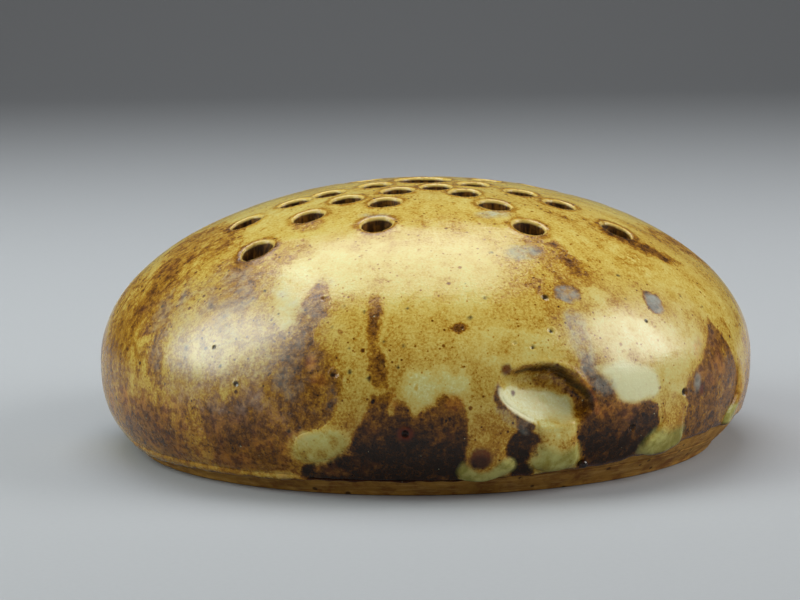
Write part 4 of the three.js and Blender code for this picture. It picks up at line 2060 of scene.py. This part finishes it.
PIN_PITS: tuple[tuple[float, ...], ...] = (
    (22.8, 40.4, 0.4, 1.0, 0.4), (21.9, 34.3, 0.4, 1.0, 0.4), (18.0, 31.4, 0.35, 1.0, 0.4),
    (-3.3, 14.8, 0.8, 1.0, 0.3), (47.4, 18.6, 0.8, 0.8, 0.3), (-12.8, 32.0, 0.5, 1.0, 0.4),
    (-16.0, 35.7, 0.45, 1.0, 0.3), (-15.0, 39.6, 0.5, 1.0, 0.5), (-3.2, 39.5, 0.4, 1.2, 0.5),
    (0.2, 36.4, 0.3, 1.0, 0.3), (-6.7, 33.2, 0.5, 1.0, 0.5), (-7.0, 29.2, 0.7, 1.0, 0.6),
    (-4.5, 28.4, 0.5, 1.0, 0.4), (-9.0, 26.1, 0.6, 1.0, 0.5), (8.3, 43.6, 0.4, 1.0, 0.3),
    (14.6, 36.8, 0.35, 1.0, 0.4), (7.9, 37.5, 0.5, 1.2, 0.6), (12.2, 37.3, 0.3, 1.0, 0.3),
    (11.5, 41.0, 0.4, 1.4, 0.5), (-10.9, 38.7, 0.45, 1.0, 0.5), (-3.5, 32.5, 0.45, 1.0, 0.6),
    (3.9, 37.2, 0.3, 1.0, 0.4), (-12.1, 27.4, 0.5, 1.0, 0.5), (23.1, 40.6, 0.6, 1.2, 0.6),
    (42.7, 43.1, 0.5, 1.0, 0.4), (55.6, 37.5, 0.4, 1.0, 0.4), (-37.1, 34.9, 0.45, 1.0, 0.4),
    (-44.1, 29.8, 0.5, 1.0, 0.4), (-37.9, 30.5, 0.5, 1.0, 0.4), (-43.9, 27.6, 0.4, 1.0, 0.4),
    (-35.7, 26.9, 0.45, 1.0, 0.4), (-32.0, 23.7, 0.6, 1.2, 0.4), (-26.7, 27.8, 0.4, 1.0, 0.4),
    (-32.6, 41.8, 0.5, 1.0, 0.4), (-47.1, 38.9, 0.4, 1.0, 0.4), (-27.2, 37.8, 0.4, 1.0, 0.4),
    (-15.0, 26.7, 0.45, 1.0, 0.4), (-22.3, 14.7, 0.5, 1.3, 0.4), (42.0, 34.2, 0.5, 1.0, 0.4),
    (40.2, 38.7, 0.4, 1.2, 0.4), (60.4, 34.7, 0.4, 1.0, 0.4), (48.7, 26.9, 0.4, 1.0, 0.4),
    (-15.5, 52.1, 0.4, 1.0, 0.4), (16.0, 49.0, 0.4, 1.4, 0.5),
)  # fmt: skip

MARKS: list[Patch | Spot] = [
    Patch(Tint.DEEP, LOW_LEFT, 2.6, 1.3),
    Patch(Tint.BROWN, ((-64, 8), (-56, 15), (-47, 14), (-44, 8), (-52, 5)), 3.0, 0.5),
    Patch(Tint.BROWN, ((-38, 17), (-31, 20), (-24, 17), (-23, 9), (-29, 5), (-37, 7)), 3.0, 0.6),
    Patch(Tint.DEEP, LEFT_BAND, 1.6, 0.8),
    Patch(Tint.BROWN, LEFT_BAND, 2.6, -0.6),
    Patch(Tint.DEEP, (
        (-76, 28.8), (-84, 34), (-84.5, 39.5), (-65.7, 38.8), (-57.7, 29.7), (-56.5, 17.3),
        (-56, 8.4), (-62.7, 8.9), (-70, 14.8),
    ), 3.0, 0.25),
    Patch(Tint.DEEP, (
        (-29.2, 34.6), (-27.5, 37.6), (-23.8, 36), (-20.9, 32.2), (-19.9, 22.4), (-24.8, 18.8),
        (-31, 19.9), (-34.3, 23.6), (-33.4, 30.6),
    ), 2.4, 0.1),
    Patch(Tint.DEEP, (
        (-47.3, 45.8), (-43.1, 46.5), (-37.8, 45.3), (-35.6, 42.9), (-34, 38.9), (-33.8, 36.3),
        (-37.8, 37.6), (-42.6, 42.4),
    ), 1.6, 0.4),
    Patch(Tint.DEEP, (
        (-39.8, 49.8), (-33, 50.3), (-27.7, 49), (-26.8, 47.3), (-30.9, 46.8), (-35.9, 47.6),
    ), 1.6, -0.1),
    Patch(Tint.DEEP, (
        (-86, 47.6), (-76.9, 51.6), (-60.6, 51.4), (-54.5, 48.4), (-57.7, 45.5), (-66.7, 44.2),
        (-79.4, 44.2),
    ), 2.4, 0.7),
    Patch(Tint.DEEP, (
        (-50, 20), (-48, 28), (-42, 34), (-32, 37), (-24, 35), (-22, 26), (-24, 19), (-36, 17),
    ), 3.6, -0.1),
    # Grey mottling under the left sheen: painted sheen.
    Patch(Tint.BLOOM, LEFT_SHEEN, 3.0, -0.55),
    Patch(Tint.RUST, LOW_LEFT, 3.0, -0.5),
    Patch(Tint.RUST, LEFT_BAND, 2.0, -1.0),
    Patch(Tint.RUST, DARK_FIELD, 1.6, -1.1),
    Patch(Tint.RUST, RIGHT_FIELD, 1.6, -1.0),
    Patch(Tint.DEEP, ((-44, 53.6), (-36, 54.2), (-33, 53.2), (-38, 52.4)), 1.2, 0.4),
    Patch(Tint.DEEP, (
        (26.2, 50.6), (33.7, 51.1), (34.2, 48.2), (36.5, 45.6), (34.7, 42.4), (30, 41),
        (28.1, 43.4), (26.9, 46.2), (25.5, 48.9),
    ), 2.0, -0.05),
    Patch(Tint.BROWN, (
        (31, 50.9), (34.4, 50.2), (35.6, 46.6), (34.6, 43.4), (32.4, 44.4), (31.6, 48),
    ), 1.4, 0.0),
    Patch(Tint.DEEP, (
        (56.7, 53.7), (64, 51.8), (62.2, 48.9), (64.2, 45.3), (66.1, 39.4), (66.3, 33.4),
        (58.1, 32), (52.2, 38.2), (45.9, 42), (39.2, 45), (40.7, 49.4), (45.1, 53.1),
    ), 3.0, -0.75),
    Spot(Tint.DEEP, 52.5, 44.8, 3.6, 1.4, 2.4, 0.3),
    Patch(Tint.DEEP, ((14, 50), (25, 50), (24, 44), (18, 41), (13, 44)), 2.6, -0.7),
    Patch(Tint.STRAW, (
        (52.9, 47.9), (59.7, 44), (63.6, 37.2), (61.4, 32), (53.3, 32.4), (51.4, 38.8),
        (48.5, 42.4), (44.5, 45.5),
    ), 2.0, -0.3),
    Patch(Tint.STRAW, (
        (64.1, 35.1), (67.6, 30.8), (69, 23.5), (70, 16.6), (75.8, 17.7), (77, 24.9), (78.1, 30.8),
        (74.9, 36.9),
    ), 1.4, -0.7),
    Patch(Tint.DEEP, (
        (-55.1, 38), (-67.4, 44.4), (-80.8, 49), (-55.9, 49.8), (-36.3, 45), (-31.5, 40.9),
        (-37.5, 39.3), (-46.1, 38.2),
    ), 3.0, -0.2),
    Patch(Tint.BROWN, (
        (54.5, 51.4), (58.5, 49.4), (64.2, 46.2), (67.6, 43.2), (64.9, 42.6), (57.2, 46),
    ), 1.4, 0.5),
    Patch(Tint.STRAW, (
        (-23.6, 45.9), (-19.6, 45.2), (-17, 41.5), (-13.5, 43.2), (-15.3, 48.6), (-24.7, 49),
        (-30.5, 45.9), (-29.3, 40.8), (-26.4, 36.4), (-24.4, 35.8), (-24.4, 39.9), (-23.6, 43),
    ), 1.8, 1.0),
    Patch(Tint.STRAW, (
        (32.6, 41), (35.1, 39.5), (37.5, 37), (41.2, 34.6), (46.5, 33), (52.1, 31.2), (55.7, 29),
        (51.3, 24.6), (47.8, 21.8), (46.9, 17.8), (42.9, 18.8), (41.5, 22.5), (39.4, 26.2),
        (34.9, 28.4), (30.7, 29.6), (29.9, 34.5),
    ), 2.4, 0.8),
    Patch(Tint.STRAW, (
        (-13.6, 49.6), (3, 50.6), (12, 49.4), (14, 44), (9, 40.6), (0, 40.4), (-12, 41.6),
    ), 3.0, 0.1),
    Patch(Tint.STRAW, (
        (9, 29.6), (13, 28.2), (18, 29.2), (23, 29), (22, 33), (14, 35), (8, 33),
    ), 2.4, 0.2),
    Patch(Tint.DEEP, LANCE, 0.7, 1.1),
    Patch(Tint.BLOOM, LANCE, 1.6, -0.9),
    Patch(Tint.BROWN, (
        (-23, 33), (-18, 33), (-13.6, 29), (-13, 23), (-15, 16.5), (-19, 14.5), (-24, 16),
        (-26, 22), (-25, 28),
    ), 2.4, -0.1),
    Patch(Tint.BROWN, (
        (-10.4, 41.3), (-8.4, 41.5), (-7.8, 39), (-8.2, 36.5), (-7.6, 32.6), (-6.4, 29.4),
        (-6.4, 25.3), (-8.6, 24.9), (-9.2, 29.4), (-9.4, 33.6), (-9.9, 37.5),
    ), 0.9, 0.3),
    Patch(Tint.BROWN, RIGHT_PATCH, 0.9, 0.6),
    Patch(Tint.IRON, RIGHT_DARK, 2.6, -0.7),
    Patch(Tint.BROWN, (
        (26.9, 25.6), (28.5, 25.6), (30.2, 23.6), (31.6, 21.4), (33.4, 18.6), (30.1, 17.2),
        (26.2, 17.4), (26.4, 20.4), (27.2, 22.7),
    ), 1.0, 0.5),
    # Dent's lower-left rim: dark glaze, partly painted shade, greyed by a painted highlight on the
    # lip.
    Patch(Tint.IRON, DENT_BAND, 0.6, 1.2),
    Patch(Tint.BLOOM, DENT_BAND, 0.8, -0.5),
    # Dent's upper wall and lip: dark glaze, partly painted shade under the overhanging lip.
    Patch(Tint.DEEP, (
        (14.2, 27.2), (16, 27.6), (18.1, 28), (20.8, 28), (23.2, 26.9), (24.9, 25.1), (26.6, 22.4),
        (27.5, 19.7), (26.1, 18.2), (24.9, 20.4), (23.3, 21.6), (21.4, 22.8), (19.6, 23.9),
        (17.9, 24.9), (16.1, 25.6),
    ), 0.9, 0.1),
    Patch(Tint.IRON, (
        (21, 27.6), (23, 26.8), (24.9, 25), (26.6, 22), (27.3, 19.6), (26.6, 19), (25.4, 20.8),
        (24.2, 22.2), (23.2, 23.6), (22.4, 25.4),
    ), 0.8, 0.6),
    Patch(Tint.SOOT, (
        (14, 26.8), (15.3, 27.2), (16.6, 27.7), (18.2, 27.9), (20.3, 28), (22, 27.6), (23.4, 26.4),
        (24.8, 24.6), (26.3, 22.7), (27.3, 21.2), (27.7, 19.7), (27.5, 18), (27.1, 18.3),
        (27.2, 19.6), (26.6, 21), (25.7, 22.4), (24.2, 24.2), (22.8, 25.9), (21.5, 27), (20, 27.3),
        (18.1, 27.2), (16.6, 27.2), (15.2, 26.8),
    ), 0.5, 0.35),
    Patch(Tint.RUST, (
        (25.8, 24.6), (27.2, 22.4), (28.2, 20), (28.6, 17.6), (28, 17.2), (27.7, 19.8), (26.8, 22),
        (25.6, 24),
    ), 0.4, 1.0),
    Patch(Tint.IRON, DARK_FIELD, 0.8),
    Patch(Tint.IRON, RIGHT_FIELD, 0.8),
    Patch(Tint.IRON, FOOT_DARK, 0.7),
    Patch(Tint.HONEY, RUN_OUTLINES["run_left"], 1.2),
    Patch(Tint.HONEY, RUN_OUTLINES["run_front"], 0.9),
    Patch(Tint.HONEY, RUN_OUTLINES["run_dent"], 0.8),
    Patch(Tint.HONEY, RUN_OUTLINES["run_right"], 0.8),
    Patch(Tint.HONEY, RUN_OUTLINES["run_far_right"], 0.8),
    Patch(Tint.HONEY, RUN_OUTLINES["roll_left"], 0.8, 0.2),
    Patch(Tint.PALE, (
        (-62.7, 2.5), (-55.3, 1.9), (-50, 2.4), (-52, 5.2), (-58, 6.4), (-61.5, 7),
    ), 0.9, -0.7),
    Patch(Tint.PALE, (
        (-33, 1.9), (-30.5, 2.1), (-23.9, 3.2), (-23.3, 4.8), (-29.2, 4.6), (-33, 4.4),
    ), 0.8, -0.5),
    Patch(Tint.PALE, POOL_FRONT, 1.4, 1.0),
    Patch(Tint.PALE, POOL_RIGHT, 1.1, 2.0),
    Patch(Tint.PALE, RUN_OUTLINES["pool_dent"], 0.8),
    Patch(Tint.PALE, (
        (18, 17.6), (20, 18.6), (24.4, 18.6), (24.8, 15), (23.6, 13), (20.4, 13.2), (18.6, 14.6),
    ), 1.6, 0.5),
    Patch(Tint.PALE, BEAD_DENT, 2.0, 0.3),
    Patch(Tint.PALE, BEAD_LEFT, 2.4, 0.0),
    Patch(Tint.CELADON, BEAD_FRONT, 1.0),
    Patch(Tint.CELADON, BEAD_DENT, 1.8, 0.5),
    Patch(Tint.CELADON, BEAD_RIGHT, 1.6, 0.6),
    Patch(Tint.CELADON, (
        (63, 10.2), (64.6, 12), (67, 12.4), (67.8, 10.6), (66.6, 8.6), (64.8, 7.2), (62.8, 7.6),
    ), 0.8, 0.8),
    Patch(Tint.CELADON, BEAD_LEFT, 2.0, 0.0),
    # Pale crescent along the dent's lower-left lip: a painted highlight.
    Patch(Tint.CREAM, (
        (11.6, 23.6), (12.4, 23.6), (13.2, 21.9), (14.3, 20.2), (15.7, 18.4), (17.4, 17),
        (17.2, 16.2), (15.6, 17.2), (13.9, 18.7), (12.6, 20.5), (11.7, 22),
    ), 0.5, 0.5),
    Patch(Tint.CREAM, (
        (15, 23.4), (19.1, 22.1), (22.7, 20.1), (24.1, 18.6), (23.9, 16.4), (21, 16.6), (17.9, 18),
        (15.2, 20.5), (13.7, 22.5),
    ), 1.8, 0.0),
    # Right pool: pale glaze, whitened further by a painted highlight.
    Patch(Tint.CREAM, (
        (29.2, 25.7), (33.2, 26.2), (37.3, 25.3), (40, 22.4), (40.3, 19.6), (38.1, 19.2),
        (35.1, 19.7), (32.4, 22.6),
    ), 2.0, 1.0),
    Patch(Tint.CREAM, POOL_RIGHT, 1.2, 3.0),
    Patch(Tint.LUSTRE, LEFT_SHEEN, 4.0),
    Patch(Tint.LUSTRE, RIGHT_SHEEN, 4.0, 0.2),
    Patch(Tint.BLOOM, (
        (26.6, 37.4), (28.3, 36.5), (28.3, 32), (28.4, 27.6), (28.8, 24.8), (26.8, 25.6),
        (25.9, 29.9), (25.6, 33.6), (25.6, 36.4),
    ), 1.2, -0.3),
    Patch(Tint.DEEP, (
        (30.3, 39.5), (32.6, 38.1), (33.1, 35), (32.6, 30.5), (31.7, 26.4), (29.4, 23.8), (27, 26),
        (26.4, 31.9), (27.1, 37.4),
    ), 1.2, -0.3),
    Spot(Tint.BROWN, 27.8, 41.0, 2.7, 1.1, 0.8, 0.3),
    Spot(Tint.BLOOM, 27.8, 40.8, 2.4, 1.1, 0.7, 1.8),
    Spot(Tint.BROWN, 46.6, 37.4, 3.0, 0.85, 0.7, 0.5),
    Spot(Tint.BLOOM, 46.7, 37.2, 2.6, 0.85, 0.6, 2.0),
    Spot(Tint.BLOOM, 23.6, 48.7, 2.2, 1.6, 1.6, 0.2),
    Spot(Tint.BLOOM, 26.0, 55.2, 1.6, 2.0, 1.2, 0.5),
    Spot(Tint.BLOOM, -18.0, 55.4, 1.2, 2.0, 1.2, 0.0),
    Spot(Tint.BLOOM, 51.0, 20.0, 1.6, 0.8, 1.0, 0.3),
    Spot(Tint.BLOOM, 30.0, 22.8, 1.5, 1.4, 1.2, 0.0),
    Spot(Tint.BROWN, 5.7, 35.7, 1.0, 1.8, 0.5),
    Spot(Tint.EMBER, 13.0, 27.4, 1.2, 0.9, 0.9, 0.9),
    Spot(Tint.EMBER, 14.4, 22.6, 0.62, 0.9, 0.5, 1.0),
    Spot(Tint.EMBER, 8.7, 9.5, 2.3, 1.0, 0.9, 1.2),
    Spot(Tint.SOOT, 8.6, 8.7, 1.5, 1.3, 1.1, 0.2),
    Spot(Tint.BROWN, 10.5, 15.8, 0.9, 1.5, 0.6),
    Spot(Tint.EMBER, -3.3, 14.8, 1.5, 1.1, 1.0, 0.6),
    Spot(Tint.EMBER, 52.4, 18.2, 1.3, 0.7, 0.8, 0.6),
    Spot(Tint.RUST, -18.9, 28.9, 1.7, 0.8, 0.8, 1.4),
    Spot(Tint.RUST, -17.4, 25.6, 1.3, 1.3, 0.9, 0.4),
    Spot(Tint.RUST, 4.4, 20.8, 1.2, 1.2, 1.0, 0.0),
    Spot(Tint.RUST, -5.2, 20.8, 1.2, 0.8, 1.0, 0.3),
    Spot(Tint.RUST, 1.6, 16.2, 2.4, 1.0, 1.6, -0.9),
    Spot(Tint.RUST, -8.0, 12.0, 2.6, 1.8, 1.6, -0.9),
    Spot(Tint.RUST, -16.1, 6.4, 1.3, 1.6, 1.2, 0.0),
    Spot(Tint.RUST, 34.3, 16.9, 1.4, 1.6, 1.2, -0.4),
    Spot(Tint.RUST, 30.2, 17.2, 1.2, 1.2, 1.0, -0.1),
    Spot(Tint.RUST, 56.0, 24.0, 4.0, 1.2, 2.4, -0.4),
]  # fmt: skip

BACK_RUNS = {"run_back_left": -118.0, "run_back": 170.0, "run_back_right": 121.0}
RUN_MIDDLE = 9.8
RUN_SIZES = {
    "run_front": ("celadon_glaze", 1.1, 2.2, 13.0),
    "run_dent": ("celadon_glaze", 1.1, 2.2, 14.0),
    "run_right": ("celadon_glaze", 1.2, 2.2, 13.0),
    "run_far_right": ("celadon_glaze", 0.9, 1.6, 20.0),
    "run_left": ("honey_glaze", 0.4, 3.0, 15.0),
    "roll_left": ("honey_glaze", 0.35, 0.9, 60.0),
    "pool_dent": ("celadon_glaze", 0.32, 3.4, 60.0),
    "run_back_left": ("celadon_glaze", 1.2, 1.7, 18.0),
    "run_back": ("celadon_glaze", 1.2, 1.7, 18.0),
    "run_back_right": ("celadon_glaze", 1.2, 1.7, 18.0),
}
BACK_CROWN: tuple[Place, ...] = (
    (-30, 50), (-10, 52), (10, 50), (24, 44), (12, 38), (-12, 35), (-30, 41),
)  # fmt: skip


BACK_TURNS: tuple[tuple[Patch, tuple[tuple[int, bool, float], ...]], ...] = (
    (
        Patch(Tint.IRON, DARK_FIELD, 0.9),
        ((-98, False, -1.0), (152, True, -0.6), (-150, True, -1.0)),
    ),
    (Patch(Tint.IRON, RIGHT_FIELD, 0.9), ((78, False, 0.0),)),
    (Patch(Tint.BROWN, LANCE, 1.1, 0.9), ((170, False, 0.5), (-150, True, 0.0))),
    (Patch(Tint.BROWN, RIGHT_PATCH, 1.0, 1.0), ((150, False, 0.0), (-50, True, 0.0))),
    (
        Patch(Tint.DEEP, LOW_LEFT, 2.6, 0.5),
        (
            (138, False, 3.0), (-176, True, 5.0), (-84, False, 2.0), (-40, False, 6.0),
            (186, False, 5.0), (226, False, 2.0),
        ),
    ),
    (
        Patch(Tint.RUST, LOW_LEFT, 3.0, -0.6),
        ((138, False, 3.0), (-60, False, 4.0), (186, False, 5.0)),
    ),
    (
        Patch(Tint.DEEP, LEFT_BAND, 1.8, 0.8),
        ((150, False, 3.0), (146, True, 5.0), (-88, False, 2.0), (236, False, 0.0)),
    ),
    (
        Patch(Tint.DEEP, BACK_CROWN, 3.0, -0.1),
        ((128, False, 0.0), (182, False, -3.0), (-122, True, 0.0)),
    ),
)  # fmt: skip


def back_marks() -> list[Patch]:
    """Returns the marks of the side that the photograph doesn't show, in the same manner."""
    marks = [patch.turned(*turn) for patch, turns in BACK_TURNS for turn in turns]
    return marks + [Patch(Tint.HONEY, outline, 1.1) for outline in back_runs().values()]


def back_runs() -> dict[str, tuple[Place, ...]]:
    """Returns the outlines of the runs at the back: the front run, turned."""
    run = Patch(Tint.HONEY, RUN_OUTLINES["run_front"])
    return {name: run.turned(middle - RUN_MIDDLE).outline for name, middle in BACK_RUNS.items()}


def body_form() -> BodyForm:
    """Returns the turned form, sized from the CAD nodes.

    Returns:
        The form.
    """
    dome_low, dome_high = box_mm("pierced_dome")
    foot_low, foot_high = box_mm("foot_disc")
    seam_radius = (foot_high[0] - foot_low[0]) / 2
    trim_inset = 4.0
    return BodyForm(
        girth_radius=(dome_high[0] - dome_low[0]) / 2,
        girth_height=20.0,
        top_height=60.0,
        seam_radius=seam_radius,
        seam_height=4.0,
        foot_radius=seam_radius - trim_inset,
    )


def main() -> None:
    """Builds the pieces in order and sets up the studio."""
    logging.basicConfig(level=logging.INFO, format="%(name)s %(message)s")
    pits = [Spot(Tint.SOOT, *pit) for pit in PIN_PITS]
    marks = MARKS + pits + back_marks()
    skin = FiredSkin(body_form(), stem_holes(), THUMB_DENT, GLAZE_LINE, CRATERS, marks)
    effects = Effects(Tones())
    stoneware = FiredFinish("glazed stoneware").make(effects)
    clay = FiredFinish("bare clay").make(effects)
    thick = FiredFinish("thick glaze").make(effects)
    glass = BlackGlass().make(effects)

    PiercedDome(skin).build(stoneware)
    FootDisc(skin).build(clay)
    outlines = RUN_OUTLINES | back_runs()
    for name, (slot, *measures) in RUN_SIZES.items():
        GlazeRun(skin, name, slot, outlines[name], *measures).build(thick)
    GlazeDrop(skin, azimuth=26.7, height=6.4).build(glass)
    Studio().build()


if __name__ == "__main__":
    main()
